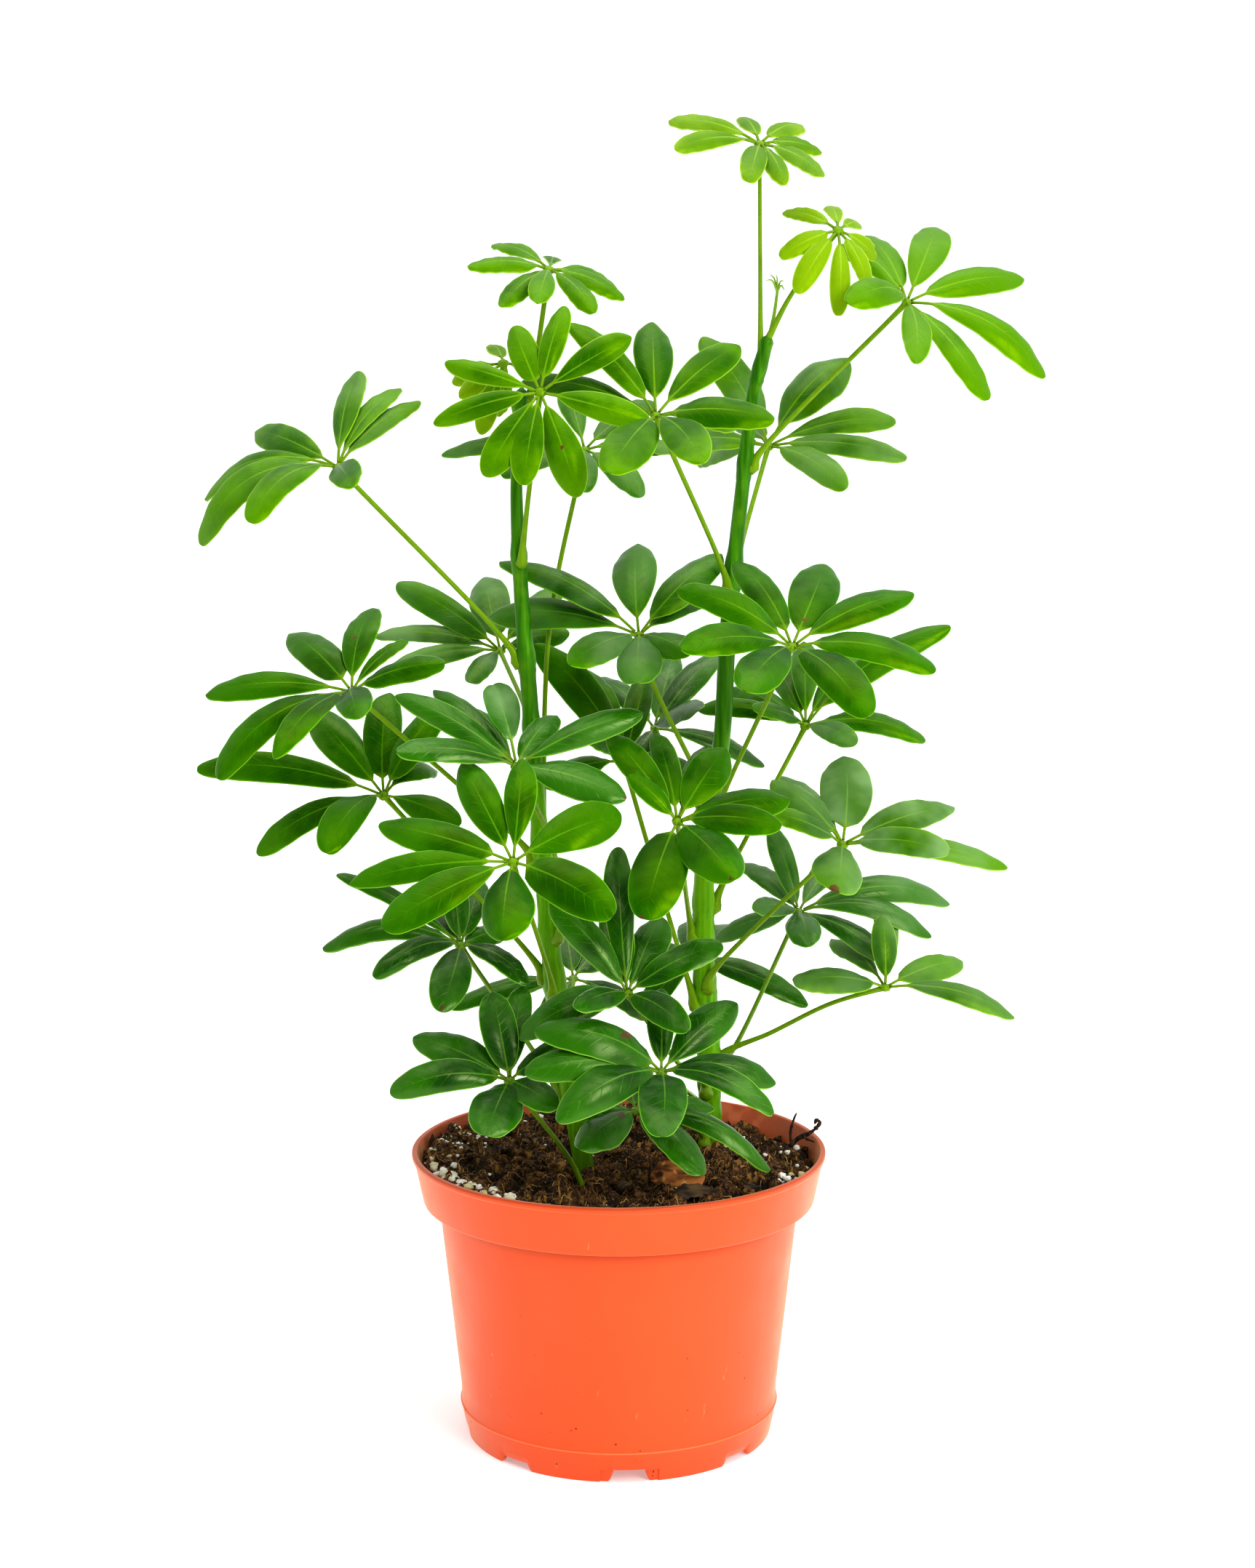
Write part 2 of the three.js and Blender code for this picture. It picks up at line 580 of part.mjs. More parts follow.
// The way that a whorl faces: the normal of the ring of its tips, turned to the upper side.
function facing(hub, tips) {
  const back = new THREE.Vector3(0, 1, 0.3);
  const angle = (tip) => Math.atan2(tip.clone().sub(hub).dot(back), tip.x - hub.x);
  const ring = [...tips].sort((a, b) => angle(a) - angle(b));
  const normal = new THREE.Vector3();
  ring.forEach((tip, i) => {
    const next = ring[(i + 1) % ring.length];
    normal.add(tip.clone().sub(hub).cross(next.clone().sub(hub)));
  });
  return normal.normalize();
}

// One leaflet: a thin arched blade, narrow at its stalklet, widest past its middle, pointed at its tip.
// Its outline is given by stations along the blade and their share of the full width. The blade turns
// about its rib towards the light, which comes from the front.
const OUTLINE = [[0, 0], [0.3, 0.84], [0.62, 1], [0.9, 0.66]];
const SHORT_OUTLINE = [[0, 0], [0.4, 0.88], [0.82, 0.88]];

function leaflet(hub, tip, up, width, arch) {
  const chord = tip.clone().sub(hub);
  const length = chord.length();
  const ahead = chord.clone().normalize();
  const lift = up.clone().addScaledVector(ahead, -up.dot(ahead)).normalize();
  const bend = hub.clone().addScaledVector(chord, 0.5).addScaledVector(lift, 2 * arch * length);
  const rib = new THREE.QuadraticBezierCurve3(hub, bend, tip);
  const across = new THREE.Vector3().crossVectors(ahead, lift).normalize();
  const light = EYE.clone().sub(hub).normalize().multiplyScalar(TURN_TO_LIGHT).add(up).normalize();
  const turn = Math.atan2(-light.dot(across), light.dot(lift));
  const position = [];
  const ringAt = (t, halfWidth) => {
    const middle = rib.getPoint(t);
    const tangent = rib.getTangent(t);
    const over = new THREE.Vector3().crossVectors(across, tangent).normalize();
    const breadth = across.clone();
    const share = Math.min(1, Math.max(0, (t - STALKLET_SHARE) / TURN_REACH));
    for (const arm of [breadth, over]) arm.applyAxisAngle(tangent, -turn * share);
    for (const [side, face] of [[-1, 1], [1, 1], [1, -1], [-1, -1]]) {
      const corner = middle
        .clone()
        .addScaledVector(breadth, side * halfWidth)
        .addScaledVector(over, (face * BLADE_THICKNESS) / 2);
      position.push(corner.x, corner.y, corner.z);
    }
  };
  ringAt((HUB_RADIUS - ROOT_DEPTH) / length, ROOT_WIDTH / 2);
  const outline = length < SHORT_LEAFLET ? SHORT_OUTLINE : OUTLINE;
  for (const [along, share] of outline) {
    const halfWidth = Math.max(STALKLET_WIDTH, width * share) / 2;
    ringAt(STALKLET_SHARE + (1 - STALKLET_SHARE) * along, halfWidth);
  }
  position.push(tip.x, tip.y, tip.z);
  const rings = outline.length + 1;
  const end = rings * 4;
  const index = [0, 2, 1, 0, 3, 2];
  for (let i = 0; i < 4; i++) {
    const j = (i + 1) % 4;
    for (let ring = 0; ring + 1 < rings; ring++) {
      const [a, b, c, d] = [ring * 4 + i, ring * 4 + j, ring * 4 + 4 + j, ring * 4 + 4 + i];
      // Both faces are split along the same diagonal, so that they never meet.
      if (i < 2) index.push(a, b, c, a, c, d);
      else index.push(a, b, d, b, c, d);
    }
    index.push(end - 4 + i, end - 4 + j, end);
  }
  const geometry = new THREE.BufferGeometry()
    .setAttribute("position", new THREE.Float32BufferAttribute(position, 3))
    .setIndex(index);
  return solid(geometry);
}

// A leaf's stalk from its stem, or from its hole in the soil, up to its hub.
function stalk({ stem: side, height, root, via = [], hub }) {
  const foot = side ? stemPlace(STEMS[side], height) : seen(...root);
  const places = [foot, ...via.map((place) => seen(...place)), seen(...hub)];
  if (!side) places.unshift(foot.clone().setZ(foot.z - ROOT_DEPTH_IN_SOIL));
  const path = new THREE.CatmullRomCurve3(places);
  const bars = [bar(path, PETIOLE_RADIUS, PETIOLE_SIDES, via.length ? 6 : 3)];
  if (side) {
    const end = path.getPointAt(SHEATH_LENGTH / path.getLength());
    bars.push(bar(new THREE.LineCurve3(foot, end), SHEATH_RADIUS, PETIOLE_SIDES, 1));
  }
  return fused(bars);
}

function leaf(plan) {
  const hub = seen(...plan.hub);
  const tips = plan.leaflets.map(([x, z, back]) => seen(x, z, plan.hub[2] + back));
  const up = facing(hub, tips);
  const blades = plan.leaflets.map(([, , , width, arch = USUAL_ARCH], i) =>
    leaflet(hub, tips[i], up, width, arch),
  );
  const carried = plan.stem ? mainBody(stalk(plan).subtract(clearings[plan.stem])) : stalk(plan);
  return fused([carried, knob(hub), ...blades]);
}

// ---------- Bark and twig ----------

// A flake of bark, tilted back, its lower edge sunk in the soil.
function barkChip(grow) {
  const outline = new THREE.Shape();
  const corners = [[-11, -7], [9, -8], [12, -1], [7, 6], [-4, 8], [-10, 3]];
  corners.forEach(([x, y], i) => (i ? outline.lineTo(x, y) : outline.moveTo(x, y)));
  outline.closePath();
  const flake = new THREE.ExtrudeGeometry(outline, {
    depth: 2.2 + 2 * grow,
    bevelEnabled: false,
  });
  flake.scale(1 + grow / 8, 1 + grow / 5, 1);
  flake.translate(0, 0, -grow);
  flake.rotateX(THREE.MathUtils.degToRad(42));
  flake.rotateZ(THREE.MathUtils.degToRad(-14));
  flake.translate(23, -30, SOIL_HEIGHT + 3);
  return solid(flake);
}

function twig(grow) {
  const places = [[64, 13, 106], [70, 15, 112], [76, 16, 116], [81, 18, 119]];
  const path = new THREE.CatmullRomCurve3(places.map((place) => new THREE.Vector3(...place)));
  return bar(path, 1.4 + grow, 5, 5);
}

// ---------- The whole plant ----------

const clearings = { left: stem(STEMS.left, GAP), right: stem(STEMS.right, GAP) };
const bud = bar(new THREE.CatmullRomCurve3(BUD.path.map((place) => seen(...place))), BUD.radius, 5, 3);
const rootFoot = seen(...LEAVES.leaf_bottom_left.root);
const rootEnd = rootFoot.clone().setZ(rootFoot.z - ROOT_DEPTH_IN_SOIL - GAP);
const rootHole = bar(new THREE.LineCurve3(rootEnd, rootFoot.clone().setZ(140)), ROOT_HOLE_RADIUS, 8, 1);
const holes = fused([clearings.left, clearings.right, rootHole, barkChip(GAP), twig(GAP)]);

const plant = new THREE.Group();
plant.add(meshOf("pot", pot(), COLOURS.pot, 0.5));
const filling = mainBody(fused([soilBody(), ...grains()]).subtract(holes));
plant.add(meshOf("soil", filling, COLOURS.soil, 1));
plant.add(meshOf("stem_left", stem(STEMS.left, 0), COLOURS.stem, 0.5));
plant.add(meshOf("stem_right", stem(STEMS.right, 0).add(bud), COLOURS.stem, 0.5));
for (const [name, plan] of Object.entries(LEAVES)) {
  plant.add(meshOf(name, leaf(plan), COLOURS[plan.tone], 0.4));
}
plant.add(meshOf("bark_chip", barkChip(0), COLOURS.bark, 0.9));
plant.add(meshOf("twig", twig(0), COLOURS.twig, 0.9));

export default plant;
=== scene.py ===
# %% [markdown]
# # A potted umbrella plant
# Two green stems stand in an orange nursery pot and carry thirty-one whorled leaves. The plain solids of the
# plant are loaded first and stay where they are. Every visible surface is then worked out with numpy from
# the same measures, in millimetres, and hides the plain solid that it stands for.

# %% The plain solids
import math

import bpy
import numpy as np
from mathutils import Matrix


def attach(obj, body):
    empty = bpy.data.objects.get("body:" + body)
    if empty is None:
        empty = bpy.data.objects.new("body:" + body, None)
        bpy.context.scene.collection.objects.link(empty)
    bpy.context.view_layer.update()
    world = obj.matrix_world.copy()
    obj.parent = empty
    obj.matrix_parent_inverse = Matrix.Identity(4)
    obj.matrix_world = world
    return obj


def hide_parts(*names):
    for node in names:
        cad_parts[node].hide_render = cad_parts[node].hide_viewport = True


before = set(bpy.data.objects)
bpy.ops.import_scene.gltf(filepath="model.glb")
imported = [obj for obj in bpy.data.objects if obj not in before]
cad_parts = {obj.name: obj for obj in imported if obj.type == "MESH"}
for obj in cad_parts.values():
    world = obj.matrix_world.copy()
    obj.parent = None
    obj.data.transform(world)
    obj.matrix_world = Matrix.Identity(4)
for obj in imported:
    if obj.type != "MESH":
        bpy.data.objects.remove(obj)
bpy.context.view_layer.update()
MM = 0.001  # lengths below are in millimetres, and Blender's are in metres

# %% [markdown]
# ## The camera
# The photograph looks slightly down on the plant from about a metre away. A place in it is given by where
# it is seen on the upright plane through the pot's axis, so the eye comes first and the plant's places
# are worked out from it. A portrait picture takes the sensor's width along its height, which is 2156 pixels.

# %% Camera
EYE = np.array([3.5, -1067.0, 423.4])
PITCH = 0.15  # radians below the horizon
FOCAL_PIXELS, PICTURE_HEIGHT, SENSOR = 3786, 2156, 36

camera = bpy.data.objects.new("camera", bpy.data.cameras.new("camera"))
camera.data.sensor_width = SENSOR
camera.data.lens = FOCAL_PIXELS / PICTURE_HEIGHT * SENSOR
camera.data.clip_end = 30
camera.location = EYE * MM
camera.rotation_euler = (math.pi / 2 - PITCH, 0, 0)
bpy.context.scene.collection.objects.link(camera)
bpy.context.scene.camera = camera
print("lens", round(camera.data.lens, 1), "mm")

# %% [markdown]
# ## Nodes
# The world and every material are graphs of small nodes. Nodes could be placed by hand in Blender's shader
# editor. Two short helpers add and link them here instead, so that a whole graph can be read as text.

# %% Helpers for nodes
def feed(socket, value):
    """Sets an input of a node to a value, or links it if the value is another node's output."""
    if isinstance(value, bpy.types.NodeSocket):
        socket.id_data.links.new(value, socket)
    else:
        socket.default_value = value


def add_node(tree, kind, values, output=0, **settings):
    """A new shader node, with its inputs fed and its settings set. It hands back one of its outputs. A
    MapRange's inputs are 0 the value, 1 and 2 the range that it comes from, 3 and 4 the range it goes to."""
    node = tree.nodes.new("ShaderNode" + kind)
    for name, setting in settings.items():
        setattr(node, name, setting)
    for socket, value in values.items():
        feed(node.inputs[socket], value)
    return node.outputs[output]


# %% [markdown]
# ## Light
# The plant was photographed in a white studio: white behind it and under it, soft light from above, and a
# darker room on the camera's side, which keeps the glossy leaves from looking milky. So the world is bright
# behind the plant, at its sides and most of all overhead, dim behind the camera, and shows plain white to
# the camera itself. A broad sun lights the whole floor alike, so that no horizon shows, and one soft lamp
# at the upper right lights the front.

# %% World
bpy.context.scene.view_settings.view_transform = "Standard"
bpy.context.scene.view_settings.look = "Medium High Contrast"
WORLD_BACK, WORLD_SIDES, WORLD_FRONT, WORLD_TOP, WORLD_SEEN = 0.74, 0.86, 0.22, 1.25, 1.1
SMOOTH = {"interpolation_type": "SMOOTHSTEP"}

world = bpy.data.worlds.new("white_studio")
bpy.context.scene.world = world
world.use_nodes = True
sky = world.node_tree
way = add_node(sky, "TexCoord", {}, "Generated")
rightwards, backwards, upwards = add_node(sky, "SeparateXYZ", {0: way}).node.outputs
depth = add_node(sky, "MapRange", {0: backwards, 1: -0.45, 2: 0.35, 3: WORLD_FRONT, 4: WORLD_BACK}, **SMOOTH)
aside = add_node(sky, "Math", {0: rightwards}, operation="ABSOLUTE")
sides = add_node(sky, "MapRange", {0: aside, 1: 0.5, 2: 0.85, 4: WORLD_SIDES})
overhead = add_node(sky, "MapRange", {0: upwards, 1: 0.6, 2: 0.95, 4: WORLD_TOP}, **SMOOTH)
lit = add_node(sky, "Math", {0: depth, 1: sides}, operation="MAXIMUM")
lit = add_node(sky, "Math", {0: lit, 1: overhead}, operation="MAXIMUM")
in_camera = add_node(sky, "LightPath", {}, "Is Camera Ray")
strength = add_node(sky, "MapRange", {0: in_camera, 3: lit, 4: WORLD_SEEN})
feed(sky.nodes["Background"].inputs["Strength"], strength)
feed(sky.nodes["Background"].inputs["Color"], (1, 1, 1, 1))
print("world of", len(sky.nodes), "nodes")


# %% Lamps
LOOKED_AT = (0, 0, 250)  # the middle of the plant


def lamp(name, kind, place, strength, breadth):
    """A lamp of a kind at a place, whose face looks at the middle of the plant. Breadth is its size in
    millimetres, or for a sun the angle in degrees that it fills."""
    light = bpy.data.lights.new(name, kind)
    light.energy = strength
    if kind == "SUN":
        light.angle = math.radians(breadth)
    else:
        light.size = breadth * MM
    holder = bpy.data.objects.new(name, light)
    holder.location = np.array(place) * MM
    away = np.subtract(place, LOOKED_AT)
    tilt = math.atan2(math.hypot(away[0], away[1]), away[2])
    holder.rotation_euler = (tilt, 0, math.atan2(away[1], away[0]) + math.pi / 2)
    bpy.context.scene.collection.objects.link(holder)


lamp("overhead", "SUN", (220, -120, 2250), 1.42, 64)
lamp("key", "AREA", (700, -1000, 800), 9.5, 600)
print("lamps", *(light.name for light in bpy.data.lights))

# %% [markdown]
# ## Shapes from rings
# Stems, stalks, leaflets, grains and the pot are all the same kind of surface: rings of points that follow
# one another, with a skin between them and a fan at each end. One helper turns rings into faces, one joins
# shapes, and one makes the Blender object. Marks are numbers that each point carries for its material,
# such as how far along a leaflet it lies.

# %% Helpers for shapes
def unit(vectors):
    """Vectors divided by their own length."""
    return vectors / np.linalg.norm(vectors, axis=-1, keepdims=True)


def rise(value, low, high):
    """0 up to low, 1 from high on, and an S-curve between them."""
    share = np.clip((value - low) / (high - low), 0, 1)
    return share * share * (3 - 2 * share)


def closed(rings, **marks):
    """The skin over rings of points [ring, place, xyz], which run anticlockwise seen from ahead. Each point
    is joined to the next in its ring and to the same point of the next ring, and both ends get a fan."""
    rows, columns = rings.shape[:2]
    points = np.vstack([rings.reshape(-1, 3), rings[0].mean(0), rings[-1].mean(0)])
    row, column = np.meshgrid(np.arange(rows - 1), np.arange(columns), indexing="ij")
    beside = (column + 1) % columns
    corners = [(row, column), (row, beside), (row + 1, beside), (row + 1, column)]
    quads = np.stack([r * columns + c for r, c in corners], -1).reshape(-1, 4)
    here, there = np.arange(columns), (np.arange(columns) + 1) % columns
    start = np.stack([np.full(columns, rows * columns), there, here], -1)
    last = (rows - 1) * columns
    end = np.stack([np.full(columns, rows * columns + 1), last + here, last + there], -1)
    spread = {}
    for name, mark in marks.items():
        values = np.broadcast_to(mark, (rows, columns))
        spread[name] = np.concatenate([values.ravel(), [values[0].mean(), values[-1].mean()]])
    return {"points": points, "faces": [quads, start, end], "marks": spread}


def spun(points, degrees, axis):
    """Points turned round a world axis, 0 for x, 1 for y and 2 for z, anticlockwise seen from its far end."""
    turn = math.radians(degrees)
    first, second = (axis + 1) % 3, (axis + 2) % 3
    turned = np.array(points, float)
    turned[..., first] = math.cos(turn) * points[..., first] - math.sin(turn) * points[..., second]
    turned[..., second] = math.sin(turn) * points[..., first] + math.cos(turn) * points[..., second]
    return turned


def joined(shapes):
    """Several shapes as one. A shape without a certain mark holds 0 for it."""
    names = sorted({name for shape in shapes for name in shape["marks"]})
    counts = [len(shape["points"]) for shape in shapes]
    starts = np.cumsum([0] + counts)
    blocks = [block + start for shape, start in zip(shapes, starts) for block in shape["faces"]]
    marks = {
        name: np.concatenate([s["marks"].get(name, np.zeros(n)) for s, n in zip(shapes, counts)])
        for name in names
    }
    return {"points": np.vstack([s["points"] for s in shapes]), "faces": blocks, "marks": marks}


def piece(name, shape, material, slot, *nodes, sharp_degrees=None):
    """A Blender object of a shape, in metres, that stands for the plain solids named in nodes."""
    mesh = bpy.data.meshes.new(name)
    loops = np.concatenate([block.ravel() for block in shape["faces"]])
    sizes = np.concatenate([np.full(len(block), block.shape[1]) for block in shape["faces"]])
    mesh.vertices.add(len(shape["points"]))
    mesh.vertices.foreach_set("co", (shape["points"] * MM).ravel())
    mesh.loops.add(len(loops))
    mesh.loops.foreach_set("vertex_index", loops)
    mesh.polygons.add(len(sizes))
    mesh.polygons.foreach_set("loop_start", np.cumsum(sizes) - sizes)
    mesh.polygons.foreach_set("use_smooth", np.ones(len(sizes), bool))
    for mark, values in shape["marks"].items():
        mesh.attributes.new(mark, "FLOAT", "POINT").data.foreach_set("value", values.astype(np.float32))
    mesh.update(calc_edges=True)
    if sharp_degrees:
        mesh.set_sharp_from_angle(angle=math.radians(sharp_degrees))
    mesh.materials.append(material)
    made = bpy.data.objects.new(name, mesh)
    bpy.context.scene.collection.objects.link(made)
    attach(made, "root")
    if nodes:
        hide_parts(*nodes)
    return made


print("a third of a turn is", *spun(np.array([1.0, 0, 0]), 120, 2).round(2))

# %% [markdown]
# ## Paths and tubes
# A stalk or a root is a tube along a smooth path. The path runs through a few given places as a centripetal
# Catmull-Rom curve, which never loops or overshoots, and is then divided evenly by its length.

# %% Paths and tubes
TRIAL_POINTS = 24  # a place, before the curve is divided evenly


def smooth_path(places, count):
    """A curve through the places. Between two places it is the cubic that has each place's slope, which is
    worked out from its neighbours, with a step in time of the square root of the distance."""
    inner = np.array(places, float)
    p = np.vstack([2 * inner[0] - inner[1], inner, 2 * inner[-1] - inner[-2]])
    step = np.sqrt(np.linalg.norm(np.diff(p, axis=0), axis=1))[:, None]
    before, after = step[:-1], step[1:]
    slope = (
        (p[1:-1] - p[:-2]) / before - (p[2:] - p[:-2]) / (before + after) + (p[2:] - p[1:-1]) / after
    )
    time = np.linspace(0, len(inner) - 1 - 1e-9, TRIAL_POINTS * len(inner))
    k = time.astype(int)
    t = (time - k)[:, None]
    a, b, gap = inner[k], inner[k + 1], step[k + 1]
    u, v = slope[k] * gap, slope[k + 1] * gap
    dense = a + u * t + (3 * (b - a) - 2 * u - v) * t**2 + (2 * (a - b) + u + v) * t**3
    reach = lengths(dense)
    even = np.linspace(0, reach[-1], count)
    return np.stack([np.interp(even, reach, dense[:, axis]) for axis in range(3)], -1)


def lengths(path):
    """How far along a path each of its points lies."""
    return np.concatenate([[0], np.cumsum(np.linalg.norm(np.diff(path, axis=0), axis=1))])


def tube(path, radius, sides, **marks):
    """A round tube: at each point of the path, a circle of that point's radius, square to the path. The
    circle's first axis is square to the path and to the world axis that the whole path leans on least."""
    ahead = unit(np.gradient(path, axis=0))
    fixed = np.eye(3)[np.argmin(np.abs(path[-1] - path[0]))]
    side = unit(np.cross(fixed, ahead))
    up = np.cross(ahead, side)
    turn = np.linspace(0, 2 * math.pi, sides, endpoint=False)[None, :, None]
    radius = np.broadcast_to(np.asarray(radius, float).reshape(-1, 1, 1), (len(path), 1, 1))
    rings = path[:, None] + radius * (np.cos(turn) * side[:, None] + np.sin(turn) * up[:, None])
    return closed(rings, **marks)


print("a trial path has", len(smooth_path([[0, 0, 0], [1, 0, 2], [0, 0, 4]], 9)), "points")

# %% [markdown]
# ## Finishes
# Each material is put together with short calls: every call adds one node and hands back its output, so a
# finish reads like a sum. Its colour is built up like paint. It starts with a mix of two shades, and each
# further call lays another shade over it where a pattern is high. Patterns follow the object's own
# coordinates, or marks that the shape carries.

# %% Helpers for materials
def shade(red, green, blue):
    """A colour as seen on a screen, 0 to 255, in the linear values that a shader takes."""
    share = np.array([red, green, blue]) / 255
    linear = np.where(share <= 0.04045, share / 12.92, ((share + 0.055) / 1.055) ** 2.4)
    return (*linear.tolist(), 1.0)


class Finish:
    """A material whose nodes are added by short calls, most of which return the new node's output."""

    def __init__(self, name, specular):
        self.material = bpy.data.materials.new(name)
        self.material.use_nodes = True
        self.shader = self.material.node_tree.nodes["Principled BSDF"]
        self.set("Specular IOR Level", specular)
        self.place = self.add("TexCoord", {}, "Object")

    def set(self, socket, value):
        feed(self.shader.inputs[socket], value)

    def add(self, kind, values, output=0, **settings):
        return add_node(self.material.node_tree, kind, values, output, **settings)

    def math(self, operation, a, b=0.0):
        return self.add("Math", {0: a, 1: b}, operation=operation)

    def plus(self, a, b):
        return self.math("ADD", a, b)

    def times(self, a, b):
        return self.math("MULTIPLY", a, b)

    def mix(self, share, a, b):
        return self.add("Mix", {0: share, 6: a, 7: b}, output=2, data_type="RGBA")

    def rise(self, value, low, high):
        return self.add("MapRange", {0: value, 1: low, 2: high}, **SMOOTH)

    def fall(self, value, low, high):
        return self.math("SUBTRACT", 1.0, self.rise(value, low, high))

    def mark(self, name):
        return self.add("Attribute", {}, output=2, attribute_name=name)

    def height(self):
        """The height above the floor, in millimetres."""
        return self.times(self.add("SeparateXYZ", {0: self.place}, output=2), 1 / MM)

    def noise(self, scale, detail=3.0, stretch=(1, 1, 1)):
        place = self.add("VectorMath", {0: self.place, 1: stretch}, operation="MULTIPLY")
        return self.add("TexNoise", {"Vector": place, "Scale": scale, "Detail": detail})

    def paint(self, share, a, b):
        """Starts the colour as a mix of a and b."""
        self.colour = self.mix(share, a, b)
        self.set("Base Color", self.colour)

    def lay(self, over, share, strength=1.0):
        """Lays another colour over the colour so far, by a share, at a strength."""
        self.paint(self.times(share, strength) if strength < 1 else share, self.colour, over)

    def roughness(self, pattern, smoothest, roughest):
        """Roughness that follows a pattern between two values. A noise lies mostly between 0.3 and 0.7."""
        self.set("Roughness", self.add("MapRange", {0: pattern, 1: 0.3, 2: 0.7, 3: smoothest, 4: roughest}))

    def bump(self, height, depth, strength):
        """Bumps that follow a pattern, as deep as depth, in millimetres."""
        self.set("Normal", self.add("Bump", {"Height": height, "Distance": depth * MM, "Strength": strength}))


print("a mid grey of 128 is", round(shade(128, 128, 128)[0], 3), "to a shader")

# %% [markdown]
# ## The floor
# A plain pale floor that the lamps turn white. It is part of the studio and not of the plant.

# %% Floor
FLOOR_SIZE, FLOOR_GLOW = 12000, 0.28

studio_floor = Finish("studio_floor", 0.1)
studio_floor.set("Roughness", 0.9)
studio_floor.paint(studio_floor.noise(3.0), shade(226, 226, 226), shade(232, 232, 231))
studio_floor.set("Emission Color", (1, 1, 1, 1))
studio_floor.set("Emission Strength", FLOOR_GLOW)
bpy.ops.mesh.primitive_plane_add(size=FLOOR_SIZE * MM)
floor = bpy.context.object
floor.name = "floor"
floor.data.materials.append(studio_floor.material)
print("floor", floor.name)

# %% [markdown]
# ## The pot
# A nursery pot is moulded in one thin piece: a tapered body, an upright collar with a small lip, and a foot
# ring with notches that let water out. Its wall is one closed profile carried round the axis. A lathe
# would leave every edge knife-sharp, so the profile's corners are rounded first, and the notches are made by
# lifting the foot's lower edge where they fall, which keeps the mesh in neat rows.

# %% Pot measures
POT_HEIGHT, RIM_RADIUS, WALL = 115.4, 82.5, 1.6
COLLAR_FOOT_RADIUS, COLLAR_FOOT_HEIGHT = 78, 95.4
NECK_RADIUS, BODY_FOOT_RADIUS, BODY_FOOT_HEIGHT = 71.9, 63.4, 18
SEAM_RADIUS, SEAM_HEIGHT = 63.8, 12.4  # the fine line that the mould leaves round the foot
FOOT_RADIUS, FLOOR_UNDERSIDE, FLOOR_TOP = 61.2, 6, 8
NOTCHES, NOTCH_WIDTH, NOTCH_CHEEK, FIRST_NOTCH = 8, 12, 2.3, math.radians(4 - 90)
DEEP_NOTCH, SHALLOW_NOTCH = 5, 3  # the notches are deep and shallow by turns
RECESS_WIDTH, RECESS_DEPTH, RECESS_TOP = 22.5, 0.7, 5.3  # the panel round a deep notch is set back a little
DRAIN_HOLES, DRAIN_RADIUS, DRAIN_CIRCLE = 4, 4.5, 34
NOTCH_PERIOD = 2 * math.pi / NOTCHES
LEDGE = COLLAR_FOOT_HEIGHT + WALL  # the step inside the pot, where its collar begins
LIP_INSIDE, COLLAR_INSIDE = RIM_RADIUS - WALL - 0.6, COLLAR_FOOT_RADIUS - WALL
NECK_INSIDE, BODY_INSIDE, FOOT_INSIDE = NECK_RADIUS - WALL, BODY_FOOT_RADIUS - WALL, FOOT_RADIUS - WALL
FLOOR_EDGE = BODY_INSIDE - 1.5
print("pot", 2 * RIM_RADIUS, "mm across and", POT_HEIGHT, "mm high")


# %% [markdown]
# ## The pot's wall
# The profile runs from the foot up the outside, over the lip and down the inside. Every corner has its own
# rounding. Round the axis the columns stand close together at the notches' cheeks and far apart elsewhere.

# %% Wall profile
ARC_POINTS = 4


def rounded(corners):
    """A closed profile whose corners [radius, height, rounding] give way to short arcs: each arc starts and
    ends at the rounding's distance from its corner and bends towards it, as a quadratic Bezier curve."""
    profile = np.array(corners, float)
    place, reach = profile[:, :2], profile[:, 2:]
    back, ahead = np.roll(place, 1, 0) - place, np.roll(place, -1, 0) - place
    start, end = place + unit(back) * reach, place + unit(ahead) * reach
    t = np.linspace(0, 1, ARC_POINTS)[None, :, None]
    arcs = (1 - t) ** 2 * start[:, None] + 2 * t * (1 - t) * place[:, None] + t**2 * end[:, None]
    return arcs.reshape(-1, 2)


outer_corners = [
    (FOOT_INSIDE, 0, 0.3),
    (FOOT_RADIUS, 0, 0.4),
    (FOOT_RADIUS + 1.0, RECESS_TOP - 0.4, 0.1),
    (FOOT_RADIUS + 1.1, RECESS_TOP, 0.1),
    (SEAM_RADIUS - 0.15, SEAM_HEIGHT - 0.5, 0.2),
    (SEAM_RADIUS + 0.2, SEAM_HEIGHT - 0.1, 0.1),
    (SEAM_RADIUS - 0.35, SEAM_HEIGHT + 0.35, 0.2),
    (BODY_FOOT_RADIUS, BODY_FOOT_HEIGHT, 2),
    (NECK_RADIUS, COLLAR_FOOT_HEIGHT, 0.4),
    (COLLAR_FOOT_RADIUS, COLLAR_FOOT_HEIGHT, 1.1),
    (RIM_RADIUS - 0.9, POT_HEIGHT - 2.6, 0.3),
    (RIM_RADIUS, POT_HEIGHT - 1.9, 0.3),
    (RIM_RADIUS, POT_HEIGHT, 0.7),
    (LIP_INSIDE, POT_HEIGHT, 0.5),
]
inner_corners = [
    (COLLAR_INSIDE, LEDGE, 0.8),
    (NECK_INSIDE, LEDGE, 0.4),
    (BODY_INSIDE, BODY_FOOT_HEIGHT, 1),
    (FLOOR_EDGE, FLOOR_TOP, 0.4),
    (FOOT_INSIDE - 0.4, FLOOR_TOP, 0.2),
    (FOOT_INSIDE, FLOOR_UNDERSIDE, 0.2),
]
wall_profile = rounded(outer_corners + inner_corners)
print("wall profile of", len(wall_profile), "points")


